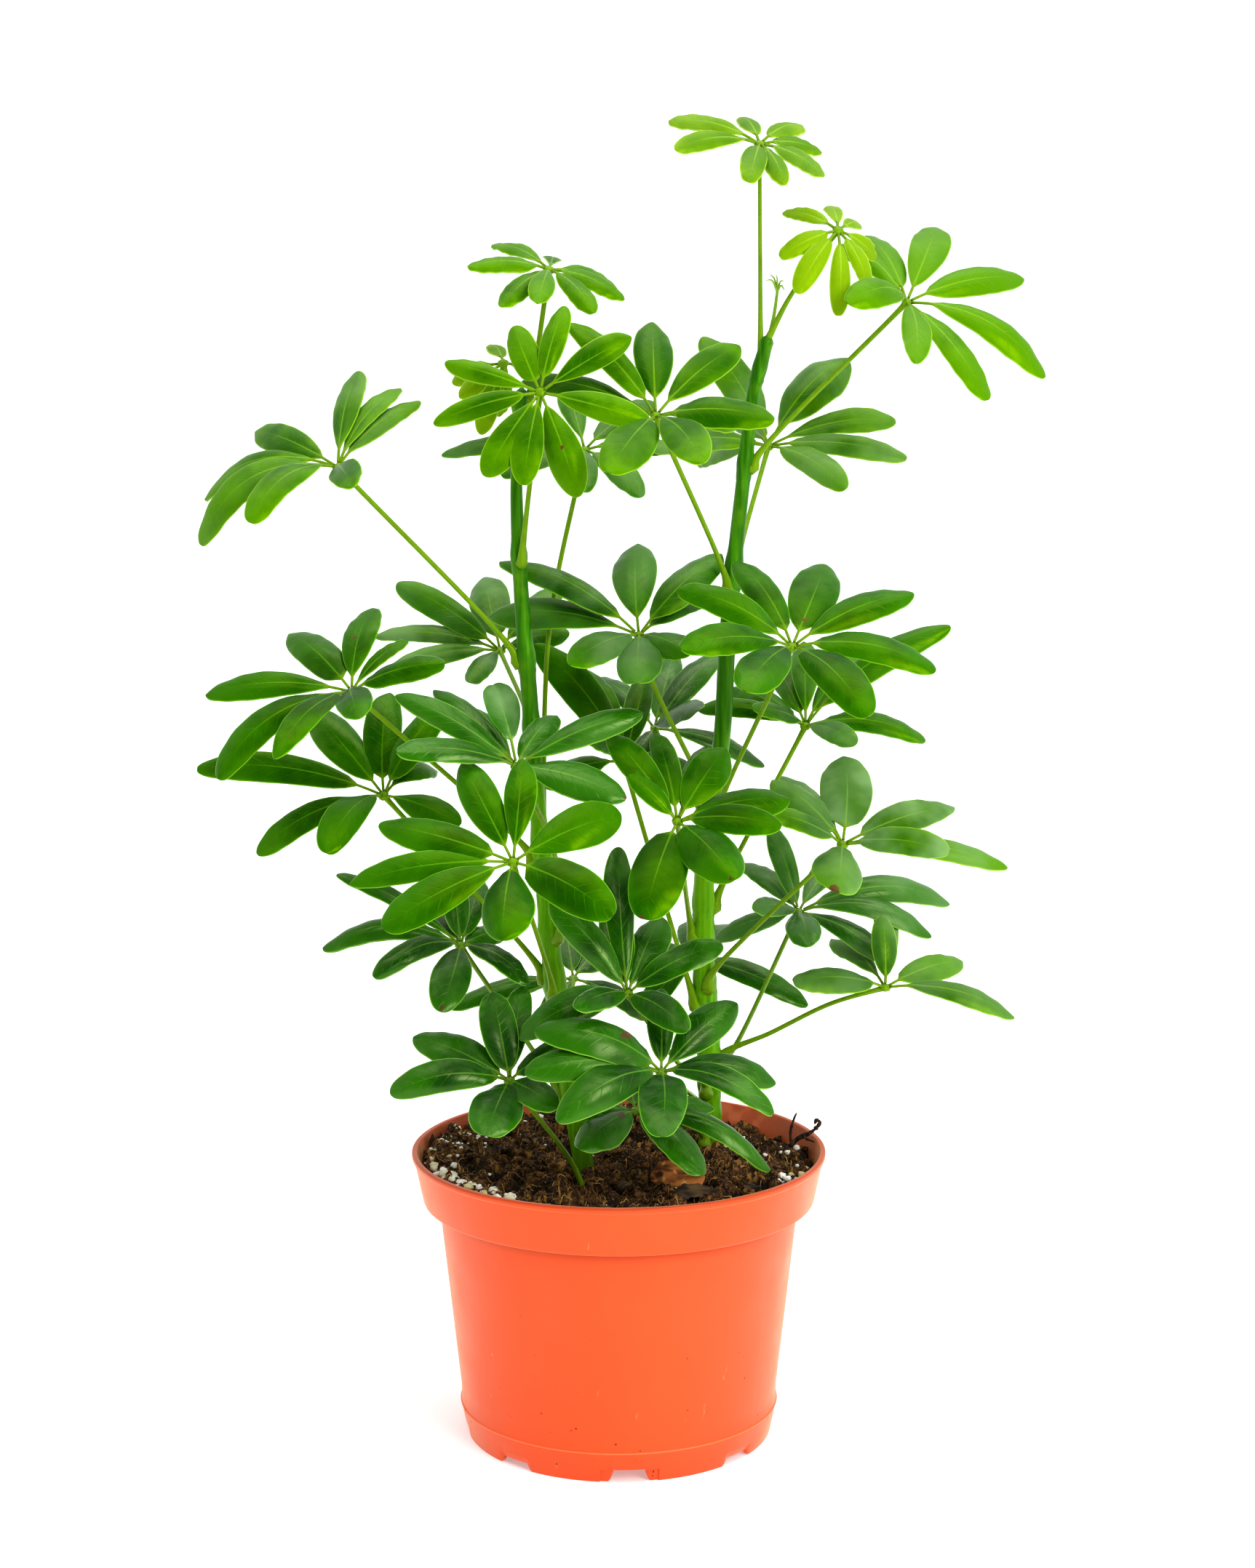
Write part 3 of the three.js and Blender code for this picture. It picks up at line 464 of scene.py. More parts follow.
# %% Wall with notches
def from_notch(turn):
    """How far along the foot a turn round the axis is from the nearest notch's middle, and that notch's
    number."""
    number = np.round((turn - FIRST_NOTCH) / NOTCH_PERIOD)
    return np.abs(turn - FIRST_NOTCH - number * NOTCH_PERIOD) * FOOT_RADIUS, number


def notch_lift(turn):
    """How high the foot's edge is lifted at a turn round the axis: a flat top between two cheeks, which fall
    as the share of a cheek that is left, to the power of 1.7, and so flare out at the floor."""
    off, number = from_notch(turn)
    left = np.clip((NOTCH_WIDTH / 2 + NOTCH_CHEEK - off) / NOTCH_CHEEK, 0, 1)
    return np.where(number % 2 == 0, DEEP_NOTCH, SHALLOW_NOTCH) * left**1.7


def recess(turn):
    """How far the foot's lower edge is set back at a turn round the axis."""
    off, number = from_notch(turn)
    return RECESS_DEPTH * (off < RECESS_WIDTH / 2 + 0.01) * (number % 2 == 0)


def looped(rings, **marks):
    """The skin over rings that close on themselves in both directions, so it has no ends."""
    rows, columns = rings.shape[:2]
    row, column = np.meshgrid(np.arange(rows), np.arange(columns), indexing="ij")
    ahead, beside = (row + 1) % rows, (column + 1) % columns
    corners = [(row, column), (ahead, column), (ahead, beside), (row, beside)]
    quads = np.stack([r * columns + c for r, c in corners], -1).reshape(-1, 4)
    marks = {name: np.broadcast_to(mark, (rows, columns)).ravel() for name, mark in marks.items()}
    return {"points": rings.reshape(-1, 3), "faces": [quads], "marks": marks}


cheek = NOTCH_WIDTH / 2 + NOTCH_CHEEK * np.array([0, 0.12, 0.3, 0.6, 1])
recess_edge = RECESS_WIDTH / 2 + np.array([-0.3, 0, 0.25, 0.6])
plain_part = np.linspace(RECESS_WIDTH / 2 + 2, 23, 6)
one_side = np.concatenate([[1.5, 3, 4.5], cheek, recess_edge, plain_part])  # off a notch's middle, in mm
one_period = np.concatenate([-one_side[::-1], [0], one_side]) / FOOT_RADIUS
turns = (FIRST_NOTCH + np.arange(NOTCHES)[:, None] * NOTCH_PERIOD + one_period).reshape(-1, 1)

radius, height = wall_profile.T
outside = radius > FOOT_INSIDE + 0.7  # the wall's outer side
lifted_below = np.where(outside, RECESS_TOP + 0.1, FLOOR_UNDERSIDE)
lift = notch_lift(turns)
raised = np.where(height < lifted_below, lift + height * (1 - lift / lifted_below), height)
radius = radius - recess(turns) * (outside & (height < RECESS_TOP - 0.2))
wall_rings = np.stack([radius * np.cos(turns), radius * np.sin(turns), raised], -1)
inner = np.arange(len(wall_profile)) >= len(outer_corners) * ARC_POINTS - 1
wall_shape = looped(wall_rings, inside=inner.astype(float))
print("wall of", len(turns), "columns")

# %% [markdown]
# ## The pot's floor
# Each quarter of the floor has a drain hole. The quarter is one ring of straight lines between its own edge
# and the hole's, so the hole is really open and no modifier has to cut it.

# %% Floor quarters
DRAIN_COLUMNS = 48


def floor_quarter(number):
    """A quarter of the pot's floor round its drain hole: straight lines run from the hole's edge out to the
    quarter's edge, over the top, down the hole's wall and back underneath."""
    sector = np.linspace(0, math.pi / 2, DRAIN_COLUMNS // 2 + 1)
    straight = np.linspace(0, 1, DRAIN_COLUMNS // 4 + 1)[:-1, None]
    arc = FOOT_INSIDE * np.stack([np.cos(sector), np.sin(sector)], -1)
    edge = np.vstack([arc[0] * straight, arc[:-1], arc[-1] * (1 - straight)])
    middle = DRAIN_CIRCLE * np.array([math.cos(math.pi / 4), math.sin(math.pi / 4)])
    bearing = np.arctan2(*(edge - middle).T[::-1])
    hole = middle + DRAIN_RADIUS * np.stack([np.cos(bearing), np.sin(bearing)], -1)
    loop = [(edge, FLOOR_TOP), (hole, FLOOR_TOP), (hole, FLOOR_UNDERSIDE), (edge, FLOOR_UNDERSIDE)]
    rings = np.stack([np.column_stack([line, np.full(len(line), level)]) for line, level in loop])
    return looped(spun(rings, 90 * number, 2))


pot_shape = joined([wall_shape] + [floor_quarter(number) for number in range(DRAIN_HOLES)])
print("pot:", len(pot_shape["points"]), "points")

# %% [markdown]
# ## Moulded plastic
# The pot's plastic is an even, strong orange with a satin sheen. Close to, it shows faint cloudy streaks from
# the mould, a few light scuffs, and dark grains of soil dust on the foot. Painted shade darkens the corner
# under the collar and the rim's top edge, where it stands for soil stain as well. A thin painted highlight
# runs along the mould's seam, and the inside is stained by the soil. The specular highlight's colour is
# orange where the plastic faces the eye, and stays white at its edges. The bump is very fine, because nursery
# plastic is smooth but never quite flat.

# %% Pot finish
plastic = Finish("orange_plastic", 0.5)
plastic.set("Specular Tint", (1.0, 0.55, 0.3, 1.0))
plastic.set("Sheen Weight", 0.45)
plastic.set("Sheen Roughness", 0.35)
plastic.set("Sheen Tint", (1.0, 0.8, 0.42, 1.0))
level = plastic.height()
uneven = plastic.noise(60, 4)
plastic.paint(plastic.noise(22, 4, (1, 1, 0.6)), shade(226, 83, 42), shade(236, 93, 52))
# Painted shade: the corner under the collar is darkened, and so is the rim's top edge, which also stands for
# soil stain.
collar_shade = plastic.times(plastic.rise(level, 89.5, 95.0), plastic.fall(level, 95.2, 95.8))
plastic.lay(shade(150, 52, 20), plastic.math("MAXIMUM", collar_shade, plastic.rise(level, 114.0, 115.0)), 0.55)
# A painted highlight: a thin light line along the mould's seam.
seam_highlight = plastic.times(plastic.rise(level, 12.1, 12.3), plastic.fall(level, 12.45, 12.65))
plastic.lay(shade(255, 160, 104), seam_highlight, 0.35)
stained = plastic.mix(plastic.rise(uneven, 0.45, 0.6), shade(196, 92, 56), shade(222, 122, 84))
plastic.lay(stained, plastic.mark("inside"))
plastic.lay(shade(255, 170, 130), plastic.rise(plastic.noise(300, 2, (1, 1, 0.3)), 0.74, 0.8), 0.35)
dust = plastic.rise(plastic.noise(480, 1), 0.765, 0.8)
plastic.lay(shade(120, 40, 22), plastic.times(dust, plastic.plus(0.25, plastic.fall(level, 0.0, 90.0))))
plastic.roughness(uneven, 0.33, 0.46)
plastic.bump(plastic.noise(700, 2), 0.05, 0.25)
pot = piece("nursery_pot", pot_shape, plastic.material, "pot", "pot", sharp_degrees=50)
print(pot.name, len(pot.data.polygons), "faces")

# %% [markdown]
# ## The soil
# Potting soil is dark, fibrous peat. Its surface is a round grid whose heights add up broad waves, a heap
# at the left and the back, and finer lumps. The waves are the same as in the plain solid. Lumps are made by
# adding many sine waves in random directions and folding the sum, which gives rounded clods with
# sharp creases between them, much cheaper than modelling clods one by one.

# %% Soil height
SOIL_HEIGHT, SOIL_BUMP, SOIL_HEAP = 108, 1.7, 5.8
GAP = 0.3  # between the soil and the pot
CLOD_SIZE, LUMP_SIZE, CRUMB_SIZE = 18, 6.5, 2.4
WAVES, USUAL_SUM = 14, 4.5  # how many sine waves make up the lumps, and about how far their sum goes


def smooth_noise(x, y, size, seed):
    """Random hills about as wide as size: a sum of sine waves in many directions, roughly from -1 to 1."""
    random = np.random.default_rng(seed)
    bearing, phase = random.uniform(0, 2 * math.pi, (2, WAVES))
    pace = 2 * math.pi / (size * random.uniform(0.7, 1.6, WAVES))
    hills = np.sin((x[..., None] * np.cos(bearing) + y[..., None] * np.sin(bearing)) * pace + phase)
    return hills.sum(-1) / USUAL_SUM


def lumpiness(x, y):
    """How far clods, lumps and crumbs stand out of the soil, in millimetres, and hollows lie below it."""
    clods = 1.7 - 3.6 * np.abs(smooth_noise(x, y, CLOD_SIZE, 3)) ** 0.85
    lumps = 1.1 - 2.4 * np.abs(smooth_noise(x, y, LUMP_SIZE, 8))
    return clods + lumps + 0.5 * smooth_noise(x, y, CRUMB_SIZE, 5)


def soil_height(x, y):
    """The height of the soil: low waves and a heap at the left and the back, with its lumpiness on them."""
    waves = np.sin(x / 9 + 1.3) * np.cos(y / 11) + 0.6 * np.sin((x + y) / 6)
    left, behind = np.maximum(0, -x / RIM_RADIUS), np.maximum(0, y / RIM_RADIUS)
    heap = SOIL_HEAP * (left**2 + 0.7 * behind**2 * (1 - rise(x, -20, 40)))
    return SOIL_HEIGHT + SOIL_BUMP * waves + heap + lumpiness(x, y)


def inner_radius(height):
    """The pot's inner radius at a height: the collar flares, and the body tapers down to the floor."""
    collar = np.interp(height, [LEDGE, POT_HEIGHT], [COLLAR_INSIDE, LIP_INSIDE])
    body = np.interp(height, [BODY_FOOT_HEIGHT, LEDGE], [BODY_INSIDE, NECK_INSIDE])
    return np.where(height > LEDGE, collar, body)


SOIL_RADIUS = float(inner_radius(SOIL_HEIGHT)) - GAP
print("soil", round(2 * SOIL_RADIUS, 1), "mm across")


# %% Soil surface
SOIL_COLUMNS, SOIL_ROWS = 220, 84
soil_turns = np.linspace(0, 2 * math.pi, SOIL_COLUMNS, endpoint=False)
share = np.sqrt(np.linspace(0.0004, 1, SOIL_ROWS))[:, None]
x, y = SOIL_RADIUS * share * np.cos(soil_turns), SOIL_RADIUS * share * np.sin(soil_turns)
z = soil_height(x, y)
kept_in = np.minimum(1, (inner_radius(z) - GAP) / np.hypot(x, y))  # the wall is nearer in hollows
top_rings = np.stack([x * kept_in, y * kept_in, z], -1)
side_radius, side_height = np.array([
    (COLLAR_INSIDE - GAP, LEDGE + GAP),
    (NECK_INSIDE - GAP, LEDGE + GAP),
    (NECK_INSIDE - GAP, LEDGE - GAP),
    (BODY_INSIDE - GAP, BODY_FOOT_HEIGHT),
    (FLOOR_EDGE - GAP, FLOOR_TOP + GAP),
    (1, FLOOR_TOP + GAP),
]).T[..., None]
side_rings = np.stack(
    [side_radius * np.cos(soil_turns), side_radius * np.sin(soil_turns), side_height + 0 * soil_turns], -1
)
# Painted shade: how deep each point lies in a hollow, and full shade on the soil's sides under the surface.
hollow = np.concatenate([rise(-lumpiness(x, y), -1.2, 2.6), np.ones(side_rings.shape[:2])])
soil_shape = closed(np.concatenate([top_rings, side_rings])[::-1], hollow=hollow[::-1])
print("soil from", z.min().round(1), "to", z.max().round(1), "mm")

# %% [markdown]
# ## Peat
# Peat is reddish brown on its fibres, and painted shade makes it nearly black in its hollows. Two noises at
# different scales mix the browns, a third one, stretched, draws fibres, and all of them drive the bump or the
# roughness.

# %% Peat finish
peat = Finish("peat", 0.25)
coarse, fine = peat.noise(130, 5), peat.noise(800, 4)
fibre = peat.rise(peat.noise(420, 3, (1, 0.22, 0.6)), 0.55, 0.63)
peat.paint(peat.rise(coarse, 0.38, 0.62), shade(26, 15, 8), shade(88, 58, 32))
peat.lay(shade(132, 94, 54), peat.rise(fine, 0.5, 0.66))
peat.lay(shade(176, 132, 66), fibre, 0.65)
# Painted shade: the hollows are darkened nearly to black.
peat.lay(shade(15, 8, 4), peat.mark("hollow"), 0.85)
peat.roughness(coarse, 0.78, 1.0)
peat.bump(peat.plus(fine, peat.times(fibre, 0.5)), 1.1, 0.9)
soil = piece("peat_surface", soil_shape, peat.material, "soil", "soil")
print(soil.name, len(soil.data.polygons), "faces")

# %% [markdown]
# ## Grains and crumbs
# White perlite and dark crumbs lie on the peat. Each is a small lumpy ball of a few dozen faces: rings round
# an axis with every point pushed in or out a little. All grains of one kind are made together as one array
# and become one piece. Perlite lies thickest at the left and the front, as in the photograph.

# %% Grains
GRAIN_ROWS, GRAIN_COLUMNS, GRAIN_SQUASH = 5, 7, 0.8


def lumps(places, sizes, random):
    """Lumpy balls at the places: five rings of seven points each, every point at a random distance from its
    ball's centre, and each ball turned at random and slightly flattened."""
    count = len(places)
    polar = np.linspace(0.5, math.pi - 0.5, GRAIN_ROWS)[:, None]
    turn = np.linspace(0, 2 * math.pi, GRAIN_COLUMNS, endpoint=False)
    wide, tall = np.sin(polar), -np.cos(polar) + 0 * turn
    ball = np.stack([wide * np.cos(turn), wide * np.sin(turn), tall], -1)
    reach = random.uniform(0.72, 1.15, (count, GRAIN_ROWS, GRAIN_COLUMNS, 1)) * sizes[:, None, None, None]
    spin = np.linalg.qr(random.normal(size=(count, 3, 3)))[0]
    spin *= np.linalg.det(spin)[:, None, None]
    rings = np.einsum("nij,nrcj->nrci", spin, ball * reach) * [1, 1, GRAIN_SQUASH] + places[:, None, None]
    tints = random.uniform(0, 1, count)
    return joined([closed(ball, tint=tint) for ball, tint in zip(rings, tints)])


def on_soil(x, y, sunk):
    """Places on the soil, sunk into it by a given depth."""
    return np.stack([x, y, soil_height(x, y) - sunk], -1)


def scattered(count, random, first_degree, last_degree, inner, outer):
    """Random places on the soil's disc, evenly spread over the area, within a range of turns and between two
    shares of the soil's radius."""
    turn = random.uniform(math.radians(first_degree), math.radians(last_degree), count)
    reach = SOIL_RADIUS * np.sqrt(random.uniform(inner**2, outer**2, count))
    return reach * np.cos(turn), reach * np.sin(turn)


grain_random = np.random.default_rng(7415)
clusters = [  # how many, from degree, to degree, from and to a share of the radius, largest size
    (36, 150, 186, 0.8, 0.985, 1.6),
    (64, 186, 232, 0.8, 0.985, 2.3),
    (44, 226, 268, 0.88, 0.985, 1.6),
    (40, -62, 20, 0.84, 0.985, 1.9),
    (120, 0, 360, 0.0, 0.98, 1.0),
    (26, 90, 170, 0.7, 0.98, 1.6),
]
grains = []
for count, *where, largest in clusters:
    x, y = scattered(count, grain_random, *where)
    sizes = largest * grain_random.uniform(0.32, 1, count) ** 1.4
    grains.append(lumps(on_soil(x, y, -0.25 * sizes), sizes, grain_random))

CRUMBS, LARGEST_CRUMB = 750, 1.9
x, y = scattered(CRUMBS, grain_random, 0, 360, 0, 0.985)
sizes = LARGEST_CRUMB * grain_random.uniform(0.3, 1, CRUMBS) ** 1.6
crumbs = lumps(on_soil(x, y, -0.1 * sizes), sizes, grain_random)
print(sum(cluster[0] for cluster in clusters), "perlite grains and", CRUMBS, "crumbs")

# %% [markdown]
# ## Perlite and crumbs of peat
# Perlite is foamed glass: white, chalky and pitted, and some grains are stained yellow. Crumbs are peat in
# all its browns. A mark gives each grain its own tint, so one material serves all grains of a kind.

# %% Grain finishes
perlite = Finish("perlite", 0.3)
pit = perlite.rise(perlite.noise(1500, 2), 0.56, 0.74)
perlite.paint(perlite.rise(perlite.mark("tint"), 0.6, 1.0), shade(250, 246, 236), shade(206, 196, 140))
perlite.lay(shade(112, 92, 70), pit, 0.55)
perlite.roughness(pit, 0.75, 0.95)
perlite.bump(pit, 0.3, 0.8)
piece("perlite_grains", joined(grains), perlite.material, "soil")

crumb = Finish("peat_crumb", 0.25)
crumb.paint(crumb.rise(crumb.mark("tint"), 0.3, 1.0), shade(26, 15, 8), shade(122, 84, 42))
crumb.lay(shade(150, 108, 58), crumb.rise(crumb.noise(900, 3), 0.5, 0.7))
crumb.roughness(crumb.noise(1600, 3), 0.75, 1.0)
crumb.bump(crumb.noise(1600, 3), 0.5, 0.9)
piece("peat_crumbs", crumbs, crumb.material, "soil")
print("finishes", perlite.material.name, crumb.material.name)

# %% [markdown]
# ## Roots and fibres
# Fine pale roots and dark fibres loop over the soil. Each is a thin tube along a random curved path that
# follows the soil's height. A particle system could scatter them too, but a short loop keeps every one in
# its place and needs no modifier.

# %% Roots
ROOTS, FIBRES = 90, 1100
STRANDS_WITHIN = 0.97 * SOIL_RADIUS
root_random = np.random.default_rng(21)


def strand(points, rings, sides, thinnest, thickest, strides):
    """One root or fibre: a walk over the soil whose bearing drifts at random, a little above the ground
    between its two ends, which dip into it. The tube along it thins towards its end."""
    x, y = scattered(1, root_random, 0, 360, 0, 0.93)
    bearing = root_random.uniform(0, 2 * math.pi) + np.cumsum(root_random.normal(0, 0.45, points))
    stride = root_random.uniform(*strides)
    path_x, path_y = x + np.cumsum(np.cos(bearing)) * stride, y + np.cumsum(np.sin(bearing)) * stride
    keep = STRANDS_WITHIN / np.maximum(np.hypot(path_x, path_y), STRANDS_WITHIN)
    path = on_soil(path_x * keep, path_y * keep, -root_random.uniform(0.1, 1.1, points))
    path[[0, -1], 2] -= 1.2
    thick = root_random.uniform(thinnest, thickest) * np.linspace(1, 0.5, rings)
    return tube(smooth_path(path, rings), thick, sides, tint=root_random.uniform())


roots = [strand(9, 16, 5, 0.14, 0.36, (0.7, 2.2)) for _ in range(ROOTS)]
fibres = [strand(4, 6, 4, 0.16, 0.32, (0.7, 1.7)) for _ in range(FIBRES)]
root_skin = Finish("root", 0.35)
root_skin.paint(root_skin.mark("tint"), shade(62, 38, 18), shade(206, 160, 88))
root_skin.lay(shade(96, 66, 40), root_skin.rise(root_skin.noise(500), 0.4, 0.7))
root_skin.roughness(root_skin.noise(700), 0.6, 0.85)
root_skin.bump(root_skin.noise(1400), 0.1, 0.5)
piece("fine_roots", joined(roots + fibres), root_skin.material, "soil")
print(len(roots), "roots and", len(fibres), "fibres")

# %% [markdown]
# ## Bark
# A flake of orange-brown bark stands tilted in the soil at the front, with a dark flake against it and
# smaller ones round about. A flake is a slab whose outline is pulled in and out and whose faces are ridged
# along the grain. A cut-up cube would do for a distant view, but its edges would be too clean here.

# %% Bark
FLAKE_RINGS, FLAKE_SIDES = 34, 22


def flake(half_width, upper, lower, thickness, seed):
    """A slab round the origin in the xy plane. It runs along x between its lower and its upper edge, each
    given by heights at even steps. Every ring is a flattened loop between the edges, with ridges on it."""
    random = np.random.default_rng(seed)
    u = np.linspace(-1, 1, FLAKE_RINGS)[:, None]
    turn = np.linspace(0, 2 * math.pi, FLAKE_SIDES, endpoint=False)[None, :]
    high, low = (np.interp(u, np.linspace(-1, 1, len(edge)), edge) for edge in (upper, lower))
    close = np.clip(1 - np.abs(u) ** 7, 0.03, 1) ** 0.5
    jag = 0.35 * np.sin(9 * u + random.uniform(0, 6)) + 0.25 * np.sin(21 * u + random.uniform(0, 6))
    y = (high + low) / 2 + ((high - low) / 2 + jag) * close * np.cos(turn)
    ridges = 0.4 * np.sin(2.2 * y + 2.4 * u) + 0.25 * np.sin(5.7 * y - 5 * u)
    ridges = ridges + random.normal(0, 0.08, (FLAKE_RINGS, FLAKE_SIDES))
    z = thickness * np.sin(turn) * close + 0.8 * u**2 + 0.35 * ridges * close
    x = half_width * u + 0.6 * np.sin(1.1 * y) * (1 - u**2)
    return closed(np.stack([x, y, z], -1)[::-1])


def placed(shape, tilt_degrees, turn_degrees, place):
    """A shape tilted back round x, then turned round z, then moved to [x, y, height over the soil]."""
    points = spun(spun(shape["points"], tilt_degrees, 0), turn_degrees, 2)
    return {**shape, "points": points + place + [0, 0, SOIL_HEIGHT]}


chip_edges = (1.5, 8, 7.5, 6.2, 5.2, 4.4, 3), (-3.5, -6, -7, -7.2, -7.4, -7, -4)
broad_edges = (0.4, 2.4, 4.6, 4.2, 2.4, 0.6), (-0.4, -2.6, -3, -2.6, -2, -0.6)
small_edges = (1, 2.2, 2, 0.8), (-1, -1.8, -2, -0.8)
chip = placed(flake(10.8, *chip_edges, 1.0, 4), 46, -10, (23, -30.6, 4.2))
dark_flakes = [
    placed(flake(9.5, *broad_edges, 0.5, 9), 34, 8, (29, -45, 2.4)),
    placed(flake(5.5, *small_edges, 0.5, 12), 12, 62, (-4, -60, 1.8)),
    placed(flake(4, *small_edges, 0.5, 15), 20, -30, (52, -36, 1.4)),
    placed(flake(4.5, *small_edges, 0.5, 17), 12, 30, (-36, 28, 1.8)),
    placed(flake(3.6, *small_edges, 0.4, 19), 24, -60, (2, -34, 1.8)),
]
print("bark flakes", 1 + len(dark_flakes))

# %% [markdown]
# ## Bark finishes
# Bark is streaked along its grain, so its noise is stretched that way. The chip is orange where it is freshly
# broken, with darker and paler patches, and the other flakes are wet and nearly black.

# %% Bark finishes
bark = Finish("orange_bark", 0.3)
grain = bark.noise(240, 5, (0.3, 1, 1))
bark.paint(bark.rise(grain, 0.38, 0.6), shade(92, 48, 22), shade(186, 120, 60))
bark.lay(shade(58, 30, 16), bark.rise(bark.noise(80, 3), 0.6, 0.68))
bark.lay(shade(208, 150, 88), bark.rise(bark.noise(420, 2), 0.6, 0.66))
bark.roughness(grain, 0.8, 0.5)
bark.bump(grain, 1.0, 0.9)
piece("bark_flake", chip, bark.material, "bark", "bark_chip", sharp_degrees=24)

dark_bark = Finish("dark_bark", 0.35)
grain = dark_bark.noise(300, 5, (0.4, 1, 1))
dark_bark.paint(dark_bark.rise(grain, 0.35, 0.7), shade(30, 21, 12), shade(104, 80, 48))
dark_bark.roughness(grain, 0.8, 0.5)
dark_bark.bump(grain, 0.8, 0.8)
piece("dark_flakes", joined(dark_flakes), dark_bark.material, "bark")
print("finishes", bark.material.name, dark_bark.material.name)

# %% [markdown]
# ## The twig
# A gnarled scrap of dead root lies over the rim at the right. It is a few tubes whose radius swells into
# knots and whose path trembles a little, which is enough for something two millimetres thick.

# %% Twig
TWIG_SIDES = 8


def gnarled(places, radius, count, knots, seed):
    """A tube along the places whose radius swells into knots and runs thin at its end."""
    random = np.random.default_rng(seed)
    along = np.linspace(0, 1, count)
    waves = sum(np.sin(along * pace + random.uniform(0, 6)) for pace in (9, 17, 31)) / 3
    thick = radius * (1 + knots * waves) * np.sqrt(np.clip(1.02 - along**6, 0.04, 1))
    path = smooth_path(places, count) + random.normal(0, 0.05 * radius, (count, 3))
    return tube(path, thick, TWIG_SIDES)


twig_parts = [
    gnarled([(62, 12, 106), (68, 14, 110.5), (73, 15.5, 114.6), (77, 16, 116.4), (80.6, 17.4, 118.6)],
            1.0, 40, 0.22, 2),
    gnarled([(79.6, 17, 118), (81.6, 17.6, 120.4), (80.2, 18, 121.4), (79.4, 17.6, 119.8)], 0.8, 26, 0.35, 3),
    gnarled([(70, 14.6, 112), (69.6, 15.5, 117), (70.6, 16, 121.5), (72, 16.2, 125)], 0.55, 26, 0.3, 5),
    gnarled([(66, 13.4, 109.6), (62, 17, 112.5), (60.5, 20, 112)], 0.5, 20, 0.3, 6),
    gnarled([(75, 15.8, 115.4), (76, 12, 115.2), (79, 9.6, 114.6)], 0.5, 20, 0.3, 7),
]
dead_root = Finish("dead_root", 0.25)
grain = dead_root.noise(500, 4, (1, 1, 0.5))
dead_root.paint(dead_root.rise(grain, 0.35, 0.7), shade(22, 14, 10), shade(80, 58, 40))
dead_root.roughness(grain, 0.95, 0.7)
dead_root.bump(grain, 0.6, 0.9)
piece("gnarled_root", joined(twig_parts), dead_root.material, "twig", "twig")
print("twig in", len(twig_parts), "parts")

# %% [markdown]
# ## Where the plant's parts are
# Each stem is a row of places [x, z, back, radius], where x and z are where the place is seen on the plane
# through the pot's axis, and back is how far behind that plane it lies. A leaf grows from a stem at a height,
# or from a root place in the soil. Its stalk may go via other places, or start out another way than straight
# ahead. Its leaflets' tips are [x, z, back, width], and arch if they droop more than most. A tip's back is
# counted from its hub's.

# %% Stems, by place
STEMS = {
    "left": [
        (-12.5, 75, -10, 3.9), (-13.7, 105, -10, 4.1), (-22, 155, -9, 3.9), (-27.5, 203, -9, 3.8),
        (-31.5, 250, -8, 3.2), (-35, 300, -7, 3.2), (-37.4, 332, -6, 3.0), (-39.3, 380, -5, 2.3),
        (-37, 416, -3, 2.2),
    ],
    "right": [
        (36.5, 85, 30, 4.2), (36.5, 117, 30, 4.3), (36, 150, 27, 4.2), (33.8, 190, 23, 4.2),
        (33.8, 228, 20, 4.0), (36.5, 252, 18, 3.4), (40.5, 282, 16, 3.4), (42.2, 318, 14, 3.4),
        (43.5, 335, 13, 3.1), (48.9, 388, 10, 2.7), (52, 414, 8, 2.6), (57.5, 436, 5, 1.9),
    ],
}
print(len(STEMS), "stems")

